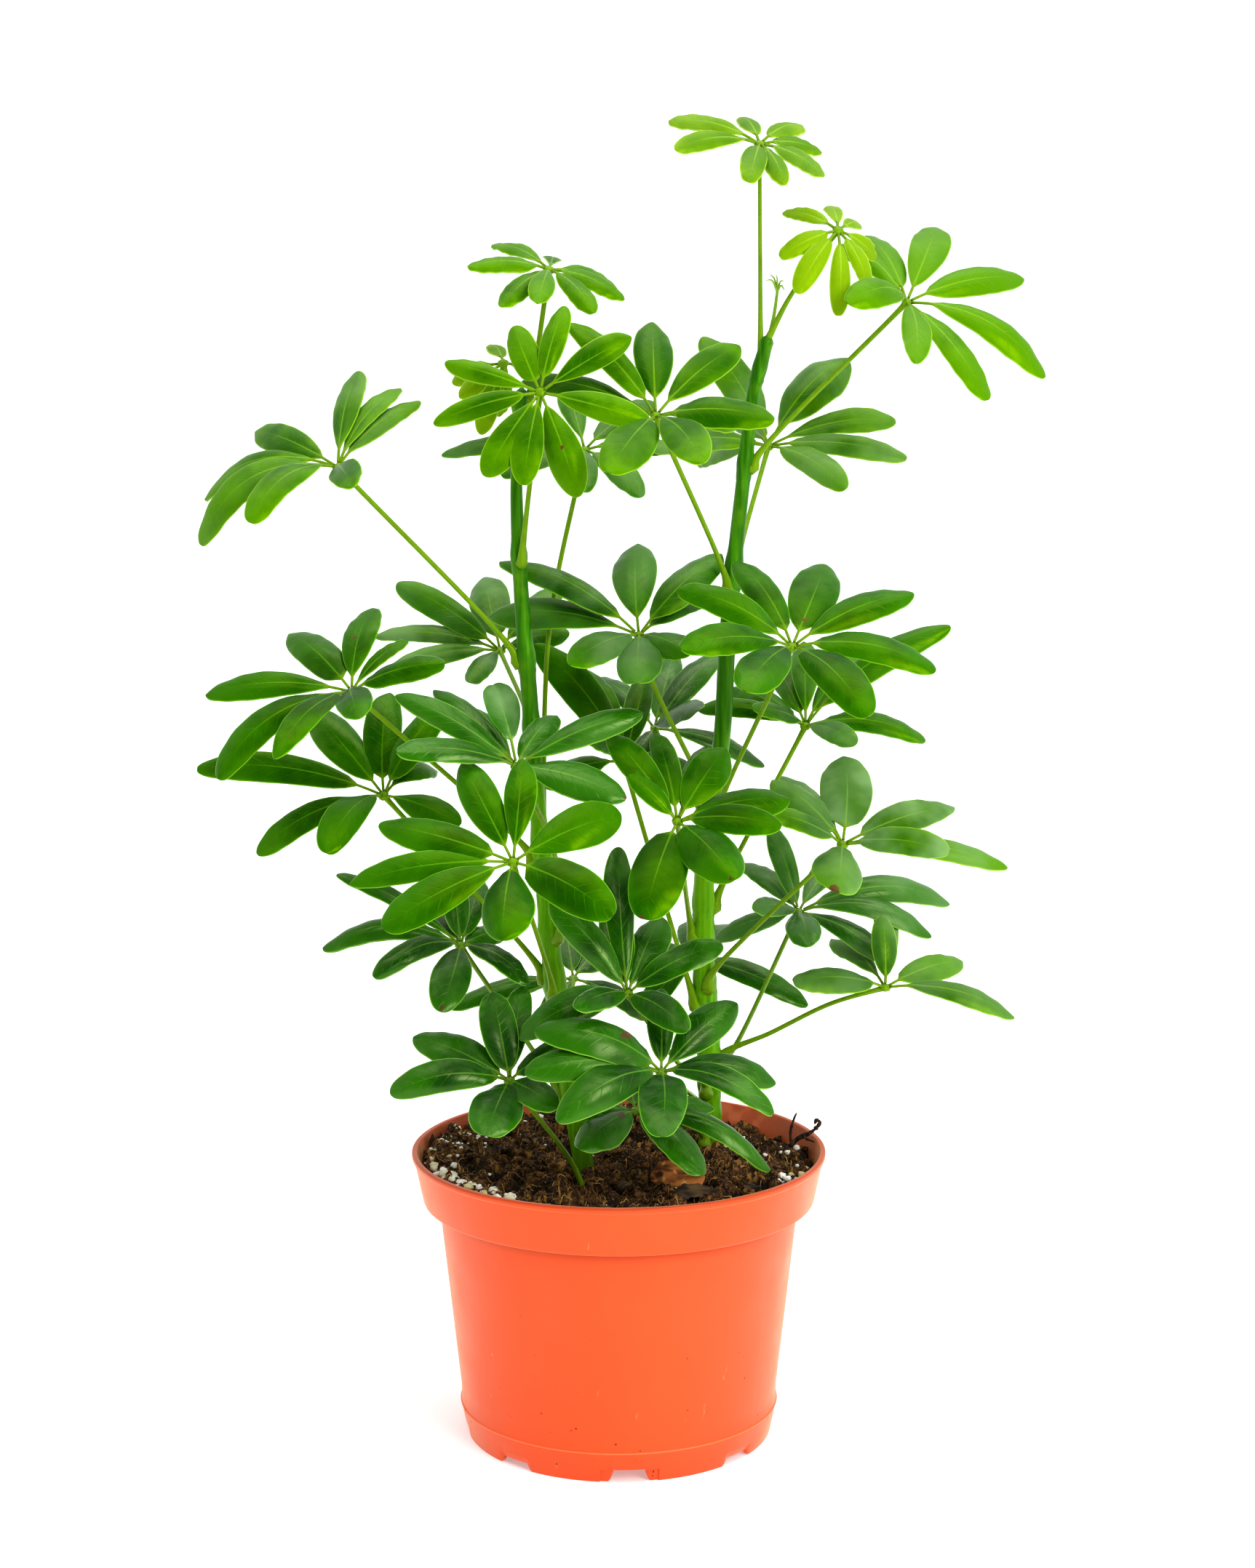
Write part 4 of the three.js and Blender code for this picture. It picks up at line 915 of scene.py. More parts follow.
# %% Leaves, by place
LEAVES = {
    "crown": dict(tone="young", stem="right", height=424, hub=(53.5, 507, 2), tips=[
        (19, 515.5, 8, 9), (21.5, 505, -20, 9), (46, 517, 26, 8), (69.5, 514, 22, 10), (77, 504, 12, 9),
        (78, 495, -10, 9), (63, 492, -22, 9), (49.5, 493, -28, 10),
    ]),
    "young_tip": dict(tone="young", stem="right", height=434,
        via=[(66, 451, 2)], hub=(83.5, 475, 0), tips=[
        (62.5, 481.5, 14, 7), (61.5, 465, -8, 8), (68, 451.5, -14, 9.5), (84, 443, -16, 8),
        (95.5, 452.5, -12, 7), (92, 477, 22, 6.5), (80, 484, 20, 7), (98, 464, 10, 7),
    ]),
    "upper_right": dict(tone="bright", stem="right", height=387.5, hub=(110, 448, 0), tips=[
        (121, 476, 36, 15.5), (154.6, 456.7, 22, 13), (163.5, 419.7, -8, 13, 0.16), (141.5, 411, -26, 12),
        (114, 425, -38, 11.5), (87, 448, -26, 14.5, 0.2), (84, 470, 30, 12), (94, 473, 38, 11),
    ]),
    "upper_right_back": dict(tone="bright", stem="right", height=348, hub=(57.7, 393.5, 53), tips=[
        (88, 427, 25, 20, 0.15), (106.5, 403, 12, 12), (111, 388.7, -8, 11), (87.6, 377, -28, 13),
        (32, 435, 10, 17), (31, 387, 34, 17), (13, 392, -6, 12), (45.5, 401, 42, 12),
    ]),
    "upper_centre": dict(tone="bright", stem="right", height=341, hub=(14.3, 405, -35), tips=[
        (13, 440.5, 32, 15.5), (46.5, 431.5, 26, 13.5), (60, 403.7, -6, 14.5), (45.7, 401, 20, 10),
        (32.6, 387, -38, 16), (-4, 383.5, -36, 18), (-18.7, 440, 16, 11), (-37, 418, 25, 11),
    ]),
    "rosette": dict(tone="bright", stem="left", height=351.5, hub=(-30, 414, -38), tips=[
        (-40, 439, 12, 11.5), (-20.5, 446.6, 14, 9.5), (5, 435, 4, 11), (12.3, 402.3, -2, 11),
        (-15.5, 374, -12, 14), (-36.6, 378.6, -16, 12), (-51.6, 382, -14, 13), (-71, 402, -4, 9),
        (-66.3, 425.4, 6, 8.5),
    ]),
    "top_left": dict(tone="bright", stem="left", height=414, hub=(-26.4, 460.3, 0), tips=[
        (-57.5, 461.4, -8, 10), (-48, 469.5, 20, 9), (-25, 464, 28, 7.5), (0, 452, 16, 9),
        (2.3, 449, -4, 10), (-9.5, 444, -20, 10), (-31, 447.7, -28, 10), (-45, 446.4, -22, 10),
    ]),
    "young_left": dict(tone="young", stem="left", height=400, hub=(-44, 425, 12), tips=[
        (-49, 432, 18, 7), (-63.5, 417.5, 8, 8), (-61, 412, -4, 8), (-53, 398, -6, 9), (-46, 405, 10, 7),
        (-33, 420, 16, 7),
    ]),
    "upper_left": dict(tone="bright", stem="left", height=312, hub=(-108, 385.5, -5), tips=[
        (-99.5, 422, 32, 11.5), (-76, 410.5, 22, 10), (-139.5, 399, 34, 13.5), (-159.5, 373, 16, 11, 0.2),
        (-161.5, 355.5, -8, 14.5, 0.24), (-142, 364, -30, 13.5, 0.18), (-102, 378, -34, 13),
        (-83.5, 415.5, 25, 9.5),
    ]),
    "upper_back": dict(tone="mid", stem="left", height=240, via=[(-27, 322, 8)], hub=(-13, 392, 45), tips=[
        (-68, 390, 6, 9), (-45, 382, -14, 10), (-13, 376, -34, 11), (9, 374, -22, 12), (14, 410, 26, 11),
        (-20, 415, 36, 11), (20, 392, 12, 11),
    ]),
    "centre": dict(tone="mid", stem="right", height=258, via=[(13, 303, -6)], hub=(8, 320.5, -10), tips=[
        (7.5, 356, 44, 18), (40, 352, 30, 15.5), (-46, 349, 28, 12, 0.13), (-50, 328, 23, 16),
        (-19, 309, -30, 15), (7, 302, -38, 17.5), (28, 313, -22, 14), (36, 334, 34, 10),
    ]),
    "right": dict(tone="mid", stem="right", height=250, hub=(67.5, 316, -42), tips=[
        (45, 349, 36, 13), (80, 348, 40, 19), (114.4, 336.8, 22, 14), (123.6, 306.8, -4, 14, 0.12),
        (97.2, 288.5, -34, 17.5, 0.13), (49, 298.8, -40, 18), (24, 315.5, -22, 14.5), (23, 338.3, 12, 13),
    ]),
    "right_back": dict(tone="mid", stem="right", height=215, hub=(73, 285, 40), tips=[
        (31, 291.5, 10, 9), (44, 300, 30, 12), (60, 310, 42, 12), (72, 318, 30, 12), (98, 314, 30, 12),
        (129, 324, 8, 13), (120, 279, -6, 11, 0.14), (92.6, 277.5, -28, 11), (52.3, 292, -14, 9),
    ]),
    "left": dict(tone="mid", stem="left", height=233, hub=(-104, 298.5, -10), tips=[
        (-161, 297, 8, 12.5), (-157, 264, -14, 14, 0.16), (-134.5, 272, -36, 12.5, 0.14),
        (-101, 288, -38, 14.5, 0.14), (-67.5, 309.5, -6, 11), (-82, 318.5, 16, 6.5),
        (-95.5, 331, 32, 14.5), (-128, 321, 34, 15.5),
    ]),
    "left_low": dict(tone="mid", stem="left", height=186, hub=(-92, 257.5, 0), tips=[
        (-165, 268, 10, 13, 0.1), (-119, 291, 28, 16.5), (-89, 298, 30, 15.5), (-68, 293, 20, 13),
        (-71, 267, 26, 12, 0.2), (-142, 234, -6, 12, 0.18), (-115, 234.5, -38, 15, 0.16),
        (-62, 246, -20, 13),
    ]),
    "left_back": dict(tone="mid", stem="left", height=284, hub=(-46, 314.5, 55), tips=[
        (-86, 340.5, 8, 13), (-95, 320, -4, 9), (-90, 306, -16, 10), (-52, 343, 36, 17.5),
        (-58, 302, -26, 10), (-22, 340, 24, 12), (-19, 321, -8, 12),
    ]),
    "left_centre": dict(tone="deep", stem="left", height=203,
        via=[(-21.5, 216, -14), (-27, 240, -22)], hub=(-40, 269, -42), tips=[
        (9.5, 290, 8, 12), (3, 256, -12, 15.5), (-24, 289, 24, 11), (-62, 293, 30, 12), (-49, 301, 12, 17),
        (-87, 297, 14, 11), (-87, 275, -14, 12), (-68, 274, 32, 7.5), (-72, 299, 32, 9),
    ]),
    "front_left": dict(tone="mid", stem="left", height=180, hub=(-41.5, 231, -72), tips=[
        (-61, 270.5, 26, 14.5), (-37.5, 272, 20, 12.5), (1, 250, 14, 17.5), (-2, 209.5, -20, 18.5),
        (-46, 199.5, -32, 20), (-93, 204.5, -16, 17), (-106, 222, 4, 12), (-94, 246, 16, 15),
    ]),
    "front_right": dict(tone="mid", stem="right", height=203, out=(-1, -0.5, 0), hub=(23, 247, -50), tips=[
        (-4, 282, 20, 13), (14, 282, 32, 10), (34, 277, 38, 11), (42, 276, 22, 16.5), (67, 256, 12, 14.5),
        (64, 245, -12, 13), (46, 224, -32, 20), (10, 208, -30, 21), (4, 266, 5, 9),
    ]),
    "right_middle": dict(tone="bright", stem="right", height=184, out=(0.3, -1, 0),
        hub=(88, 238, -20), tips=[
        (88, 273, 36, 21), (60, 263.5, 14, 14.5), (64, 265, 30, 10), (57, 251, -6, 10),
        (86.7, 219, -36, 20), (130, 235, -12, 13), (153, 228.5, 6, 10), (131.8, 252.7, 22, 14.5),
    ]),
    "right_low_back": dict(tone="deep", stem="right", height=146,
        via=[(47, 158, 34)], hub=(71, 211, 38), tips=[
        (60, 245, 18, 10), (48.6, 230.5, 28, 11), (38, 200, 8, 10), (53, 212, -20, 10),
        (75, 197, -32, 14.5), (105, 192, -14, 11), (123.5, 200.9, -2, 11, 0.18),
        (130.5, 214, 18, 13, 0.18), (88, 232, 42, 11),
    ]),
    "right_low": dict(tone="bright", stem="right", height=152,
        via=[(60, 162, 22), (84, 174, 16)], hub=(105.5, 180.5, 12), tips=[
        (69, 183, -14, 13), (104, 209.5, 10, 11), (104, 213.5, 34, 10), (136, 191, 26, 13),
        (157, 168, -4, 11, 0.13), (84, 200, 36, 11),
    ]),
    "lower_left": dict(tone="deep", stem="left", height=138, hub=(-62.5, 197.5, -12), tips=[
        (-117, 196, -4, 11, 0.2), (-97, 184.5, -26, 10, 0.2), (-70.4, 170.5, -34, 15.5, 0.14),
        (-36, 182, -14, 10, 0.16), (-45, 203, 16, 10), (-54, 224, 32, 10), (-65, 225, 22, 11),
        (-78, 214, 36, 10), (-111, 226, 16, 8),
    ]),
    "bottom_left": dict(tone="deep", root=(-15, 100, -26), hub=(-43.5, 142.5, -48), tips=[
        (-50, 178.5, 16, 14.5), (-81.6, 160.3, 16, 15.5), (-91, 137, -8, 13.5, 0.2), (-53, 120, -30, 20),
        (-24.5, 131, -20, 13), (-13, 161, 10, 10), (-38, 181, 24, 11),
    ]),
    "front_low": dict(tone="deep", stem="right", height=129, hub=(17, 146, -58), tips=[
        (-33.6, 163.3, -4, 17, 0.2), (-37.5, 145.5, -14, 15.5, 0.16), (-24.6, 125.5, -28, 17, 0.2),
        (17.5, 119.5, -38, 18.5, 0.12), (61.7, 128.7, -22, 11, 0.18), (62.5, 141.3, -2, 13, 0.2),
        (47, 174, 22, 15.5), (17, 180, 30, 11),
    ]),
    "centre_low": dict(tone="deep", stem="right", height=141,
        via=[(26, 147, -8)], hub=(3.5, 178, -38), tips=[
        (-27, 214.5, 6, 13), (-4, 213, 28, 13), (16.5, 209, 24, 15.5), (41, 198, 6, 13),
        (27.6, 162.7, -26, 13), (-17.5, 172, -30, 11), (-39.5, 159.5, -8, 15.5, 0.18), (0, 237, 30, 12),
    ]),
    "bottom_front": dict(tone="deep", stem="right", height=120, hub=(6.5, 130, -30), tips=[
        (-16, 114.5, -28, 16.5), (33.4, 103.6, -30, 15.5, 0.13), (60.6, 105.4, -6, 11, 0.16),
        (-25, 127, -8, 10), (20, 142, 38, 9.5), (0, 148, 34, 11), (38, 131, 14, 10),
    ]),
    "back_low": dict(tone="deep", stem="left", height=150, hub=(-18, 184, 48), tips=[
        (-67, 172, -10, 10), (-22, 206, 34, 13), (-2, 198, 30, 13), (12, 168, 10, 11), (-30, 162, -26, 12),
        (-46, 176, 28, 11),
    ]),
    "back_right_low": dict(tone="deep", stem="right", height=160, hub=(30, 192, 66), tips=[
        (75, 173, -14, 12), (27, 207, 30, 12), (44, 206, 34, 11), (10, 172, -10, 11), (5, 196, 26, 11),
    ]),
    "centre_back": dict(tone="mid", stem="right", height=176,
        via=[(21, 205, 18), (10, 243, 18)], hub=(2, 271, 18), tips=[
        (-33, 317, 8, 16.5), (-14, 307, 30, 13), (11, 306, 32, 11), (-14, 281, -30, 11), (30, 268, 20, 12),
        (-30, 262, 14, 12),
    ]),
    "right_centre_back": dict(tone="deep", stem="right", height=246, hub=(14, 284, 56), tips=[
        (22, 314, 36, 12), (40, 314, 28, 13), (31, 291, -32, 16.5), (57, 269, 10, 10), (-8, 304, 34, 11),
        (4, 267, -20, 10),
    ]),
}
print(len(LEAVES), "leaves,", sum(len(plan["tips"]) for plan in LEAVES.values()), "leaflets")

# %% [markdown]
# ## Stems
# A stem is one tube whose radius follows its places. It swells a little at every node, where a leaf's stalk
# clasps it, and shows a thin raised ring there. The right one ends in a tiny bud of five clawed leaflets.

# %% Stem shapes
STEM_RINGS, STEM_SIDES, BUD_STALK_SIDES, CLAW_SIDES = 260, 20, 10, 8
NODE_SWELL, NODE_LENGTH = 0.7, 4.5
SCAR, SCAR_LENGTH, SCAR_BELOW = 0.25, 0.8, 5.4  # the thin ring below a node


def seen(place):
    """The point, in millimetres, that lies `back` behind the axis plane on the eye's sight line through x and
    z on that plane. The sight line's length grows with the distance from the eye."""
    x, z, back = place[:3]
    reach = 1 - back / EYE[1]
    return np.array([EYE[0] + (x - EYE[0]) * reach, back, EYE[2] + (z - EYE[2]) * reach])


def stem_place(side, height):
    """The place [x, z, back, radius] of a stem's axis where it is seen at a height."""
    rows = np.array(STEMS[side], float)
    return np.array([np.interp(height, rows[:, 1], column) for column in rows.T])


def stem_shape(side):
    """A stem's tube. Its radius runs evenly from place to place, with a low swelling and a fine ring at each
    leaf's node, both bell-shaped along the stem, and the end is rounded off."""
    rows = np.array(STEMS[side], float)
    places = np.array([seen(row) for row in rows])
    path = smooth_path(places, STEM_RINGS)
    radius = np.interp(path[:, 2], places[:, 2], rows[:, 3])
    for plan in LEAVES.values():
        if plan.get("stem") == side:
            off = path[:, 2] - seen(stem_place(side, plan["height"]))[2]
            radius = radius + NODE_SWELL * np.exp(-((off / NODE_LENGTH) ** 2))
            radius = radius + SCAR * np.exp(-(((off + SCAR_BELOW) / SCAR_LENGTH) ** 2))
    left = lengths(path)[-1] - lengths(path)
    return tube(path, radius * np.sqrt(np.clip(left / radius, 0.03, 1)), STEM_SIDES)


def bud_shape():
    """The bud at the right stem's tip: a short stalk, and tiny leaflets that arch away from its end."""
    stalk = smooth_path([seen(place) for place in ((57.2, 433, 5), (59.4, 443, 7.5), (60.8, 453.4, 9))], 18)
    parts = [tube(stalk, np.linspace(0.9, 0.55, len(stalk)), BUD_STALK_SIDES, bud=1.0)]
    for place in (56.2, 456.4, 6), (57.6, 458.6, 11), (60.2, 458.4, 7.6), (63.2, 456, 11), (63.4, 452.6, 7):
        bow = (stalk[-1] + seen(place)) / 2 + [0, 0, 1.5]
        claw = smooth_path([stalk[-2], bow, seen(place)], 14)
        parts.append(tube(claw, 0.5 * np.sqrt(np.linspace(1, 0.03, len(claw))), CLAW_SIDES, bud=1.0))
    return joined(parts)


stem_shapes = {"left": stem_shape("left"), "right": joined([stem_shape("right"), bud_shape()])}
print("stems of", *(len(shape["points"]) for shape in stem_shapes.values()), "points")

# %% [markdown]
# ## Green bark
# The stems are bright, smooth green below and darker above, with fine lengthwise streaks and paler
# blotches. The streaks are a noise that is drawn out along the stem. Soil stains the foot.

# %% Stem finish
stem_skin = Finish("green_stem", 0.4)
stem_skin.set("Specular Tint", (0.7, 1.0, 0.2, 1.0))
streak = stem_skin.noise(600, 2, (1, 1, 0.03))
blotch = stem_skin.noise(70, 3)
level = stem_skin.height()
low_colour = stem_skin.mix(stem_skin.rise(streak, 0.25, 0.8), shade(66, 134, 0), shade(118, 176, 8))
high_colour = stem_skin.mix(stem_skin.rise(streak, 0.3, 0.8), shade(26, 92, 0), shade(66, 134, 8))
stem_skin.paint(stem_skin.rise(level, 232, 290), low_colour, high_colour)
stem_skin.lay(shade(110, 162, 18), stem_skin.rise(blotch, 0.5, 0.75), 0.35)
stem_skin.lay(shade(70, 84, 24), stem_skin.fall(level, 108, 122), 0.5)
stem_skin.lay(shade(150, 190, 62), stem_skin.mark("bud"))
stem_skin.roughness(blotch, 0.3, 0.46)
stem_skin.bump(streak, 0.08, 0.35)
for side, shape in stem_shapes.items():
    piece("green_stem_" + side, shape, stem_skin.material, "stem", "stem_" + side)
print("stems in", stem_skin.material.name)

# %% [markdown]
# ## One leaflet
# A leaflet is a thin closed surface carried along its rib. The rib is a quadratic Bezier curve from the hub
# to the tip. Across it every ring is a flat ellipse: nearly round and narrow on the stalklet, then wide and
# about half a millimetre thick on the blade. The blade's margins curl, wave and twist a little by seeded
# chance, a groove follows the midrib above, and the midrib stands out underneath. A flat plane with a picture
# of a leaf would be quicker, but it has no edge and no underside.

# %% Leaflet shape
BLADE_THICKNESS, STALKLET_RADIUS = 0.6, 0.55
STALKLET_SHARES = {"young": 0.19, "bright": 0.15, "mid": 0.14, "deep": 0.1}  # of a leaflet's length
HUB_RADIUS, ROOT_DEPTH = 2.9, 1.0
AROUND, STALKLET_RINGS, BLADE_RINGS = 26, 5, 25
TURN_TO_LIGHT = 0.55  # how far a blade turns from its whorl's facing towards the front
GROOVE, GROOVE_WIDTH, KEEL, KEEL_WIDTH = 0.3, 1.0, 0.5, 0.9
RIPPLE, RIPPLES = 0.3, 5.3  # small waves of the margin, in millimetres and how many there are
CHANCES = np.array([  # the least and the most of what chance decides about a leaflet
    (-0.02, 0.02),  # how far its rib sways to one side, as a share of its length
    (-0.22, 0.22),  # how far it is twisted at its tip, in radians
    (0.12, 0.46),  # how far its margins curl down, as a share of its half width
    (-0.1, 0.12),  # how far it is folded up along its rib
    (0.0, 0.1),  # how high its margins wave
    (0, 6.3),  # where the waves start
    (1.1, 1.9),  # how many waves there are
    (-0.1, 0.1),  # how lopsided it is
    (0.48, 0.62),  # where it is widest, as a share of its length
    (0.38, 0.58),  # how sharp its tip is
])


def outline(s, widest, taper):
    """The share of a blade's full width at the share s of its length: s to one power times what is left to
    the tip to another, taper. The first power is the one that puts the widest place where it should be."""
    wedge = taper * widest / (1 - widest)
    return (s / widest) ** wedge * ((1 - s) / (1 - widest)) ** taper


def spotted(points, spots):
    """How much of a blemish there is at each point: a bell round each spot [x, z, size], at the place where
    the point is seen on the axis plane. It is where the sight line from the eye crosses that plane."""
    reach = 1 - points[..., 1] / EYE[1]
    x, z = EYE[0] + (points[..., 0] - EYE[0]) / reach, EYE[2] + (points[..., 2] - EYE[2]) / reach
    bells = [np.exp(-((x - a) ** 2 + (z - b) ** 2) / size**2) for a, b, size in spots]
    return np.max([0 * x, *bells], axis=0)


def leaflet(hub, tip, up, width, arch, bare, random, spots, cup):
    """A leaflet from its hub to its tip, with its upper side towards up. Bare is the share of its length that
    is stalklet. A cup above 0 folds its margins up, as far round an arc as a quarter turn for a cup of 1."""
    sway, twist, curl, fold, wave, phase, beat, lop, widest, taper = random.uniform(*CHANCES.T)
    chord = tip - hub
    length = np.linalg.norm(chord)
    ahead = chord / length
    lift = unit(up - (up @ ahead) * ahead)
    across = np.cross(ahead, lift)
    light = unit(up + TURN_TO_LIGHT * unit(EYE - hub))
    turn = math.atan2(-light @ across, light @ lift)

    root = (HUB_RADIUS - ROOT_DEPTH) / length
    s = np.sin(np.linspace(0, math.pi / 2 * 0.96, BLADE_RINGS))
    t = np.concatenate([np.linspace(root, bare, STALKLET_RINGS + 1)[:-1], bare + (1 - bare) * s])[:, None]
    s = np.concatenate([np.zeros(STALKLET_RINGS), s])[:, None]
    bend = hub + chord / 2 + lift * 2 * arch * length
    rib = (1 - t) ** 2 * hub + 2 * t * (1 - t) * bend + t**2 * tip
    rib = rib + across * sway * length * 4 * t * (1 - t)
    over = unit(np.cross(across, np.gradient(rib, axis=0)))
    roll = turn * rise(s, 0.0, 0.25) + twist * s
    side, top = across * np.cos(roll) + over * np.sin(roll), over * np.cos(roll) - across * np.sin(roll)

    angle = np.linspace(0, 2 * math.pi, AROUND, endpoint=False)[None, :]
    u, face = np.sin(angle), np.cos(angle)
    from_rib = np.abs(u)
    flat = rise(s, 0.0, 0.14)
    half = np.sqrt(STALKLET_RADIUS**2 + (width / 2 * outline(s, widest, taper)) ** 2)
    deep = STALKLET_RADIUS * (1 - flat) + BLADE_THICKNESS / 2 * flat
    bent = math.pi / 2 * cup * from_rib * flat  # the angle that a cupped margin has turned through
    off = u * half * (1 + lop * u) * np.sinc(bent / math.pi)
    level = half * (cup * from_rib * np.sin(bent) + fold * from_rib - curl * u**2)
    level = level + wave * half * from_rib**1.5 * np.sin(2 * math.pi * beat * s + phase + 1.7 * u)
    level = level + RIPPLE * u**2 * np.sin(2 * math.pi * RIPPLES * s + 2 * phase) * s
    level = level - GROOVE * np.exp(-((off / GROOVE_WIDTH) ** 2)) * (1 - s) ** 0.5
    level = level - KEEL * np.exp(-((off / KEEL_WIDTH) ** 2)) * (1 - s) * (face < -1e-6)
    height = flat * level + face * deep
    rings = rib[:, None] + side[:, None] * off[..., None] + top[:, None] * height[..., None]
    return closed(
        rings,
        across=u,
        along=s,
        edge=(1 - from_rib) * half,
        rib=from_rib * half,
        under=np.clip(0.5 - face * 4, 0, 1),
        stalk=1 - rise(s, 0.0, 0.07),
        tint=random.uniform(),
        spot=spotted(rings, spots),
    )


whole_width = outline(np.array([0.25, 0.5, 0.75]), *CHANCES[-2:].mean(1)).round(2).tolist()
print("a leaflet's width at each quarter of its length:", whole_width)

# %% [markdown]
# ## Stalks and hubs
# A leaf's stalk leaves its stem with a swollen, clasping foot and widens again under the hub. The hub is a
# small knob, lobed once for each leaflet.

# %% Stalk and hub shapes
STALK_RADIUS, YOUNG_STALK_RADIUS, ROOT_DEPTH_IN_SOIL = 0.95, 0.75, 25
STALK_RINGS, STALK_SIDES, STALK_END_SWELL, STALK_END_LENGTH = 80, 12, 0.5, 3
KNOB_RINGS, KNOB_SIDES, KNOB_RADIUS, KNOB_HEIGHT, KNOB_LOBE = 12, 24, 1.9, 1.5, 0.22
LEVEL_PART = [1, 1, 0]  # what is left of a direction without its rise


def stalk(plan):
    """A leaf's stalk. It comes out of its stem, hooks upwards round a foot that is thick where the stem is,
    and thins as its distance from the foot grows, by a falling exponential. It widens a little at the hub.
    A young stalk goes on straight from its stem's tip, with no hook."""
    thin = YOUNG_STALK_RADIUS if plan["tone"] == "young" else STALK_RADIUS
    ahead = [seen(place) for place in (*plan.get("via", []), plan["hub"])]
    if "root" in plan:
        foot = seen(plan["root"])
        places = [foot - [0, 0, ROOT_DEPTH_IN_SOIL], foot]
        leaves_at, foot_swell, thinning = ROOT_DEPTH_IN_SOIL, 0.35, 5.5
    else:
        base = stem_place(plan["stem"], plan["height"])
        foot, stem_radius = seen(base), base[3]
        out = unit(np.array(plan.get("out", (ahead[0] - foot) * LEVEL_PART), float))
        places = [
            foot + out * 0.1 - [0, 0, 0.6],
            foot + out * (stem_radius + 0.3) - [0, 0, 2.8],
            foot + out * (stem_radius + 1.7) + [0, 0, 1.8],
        ]
        leaves_at, foot_swell, thinning = stem_radius + 1.4, 0.48 * stem_radius, 5.5
        if plan["tone"] == "young":
            places, leaves_at, foot_swell, thinning = [foot], stem_radius, 0.3 * stem_radius, 12
    path = smooth_path(places + ahead, STALK_RINGS)
    off = lengths(path) - leaves_at
    left = lengths(path)[-1] - lengths(path)
    radius = thin + foot_swell * np.exp(-np.maximum(off, 0) / thinning)
    radius = radius + STALK_END_SWELL * np.exp(-left / STALK_END_LENGTH)
    return tube(path, radius, STALK_SIDES, stalk=1.0, tint=0.5)


def knob(hub, up, arms):
    """A hub: a flattened ball square to up, whose radius bulges towards each leaflet."""
    first = unit(np.cross(up, [0.0, 0.0, 1.0] if abs(up[2]) < 0.9 else [1.0, 0.0, 0.0]))
    second = np.cross(up, first)
    polar = np.linspace(0.12, math.pi - 0.12, KNOB_RINGS)[:, None]
    turn = np.linspace(0, 2 * math.pi, KNOB_SIDES, endpoint=False)
    bearings = np.arctan2(arms @ second, arms @ first)
    near = np.cos(turn[:, None] - bearings).max(-1)
    wide = KNOB_RADIUS * np.sin(polar) * (1 + KNOB_LOBE * rise(near, 0.8, 1.0))
    tall = -KNOB_HEIGHT * np.cos(polar) + 0 * turn
    level = np.cos(turn)[:, None] * first + np.sin(turn)[:, None] * second
    return closed(hub + wide[..., None] * level + tall[..., None] * up, stalk=1.0, tint=0.5)


def whorl_facing(arms):
    """The way a whorl faces: the sum of the cross products of arms that are neighbours in bearing."""
    order = np.argsort(np.arctan2(arms @ np.array([0, 1, 0.3]), arms[:, 0]))
    ring = arms[order]
    return unit(np.cross(ring, np.roll(ring, -1, 0)).sum(0))


print("a stalk has", len(stalk(LEAVES["crown"])["points"]), "points")

# %% [markdown]
# ## Leaf finishes
# An umbrella plant's leaf is glossy and even, with a fine light margin all round, a pale midrib that fades
# before the tip, and side veins that hardly show. Young leaves are lime. The warm green of the leaves in the
# light and the dark, cooler green of the old ones low down are partly their age and partly painted light and
# shade. All four share one recipe with other colours. The marks that the leaflets carry place the lines
# exactly, which a noise or a picture could not do.

# %% Leaf finish
VEINS, VEIN_SLANT = 9.0, 1.6  # side veins on each side, and how far they run forward, in gaps between veins


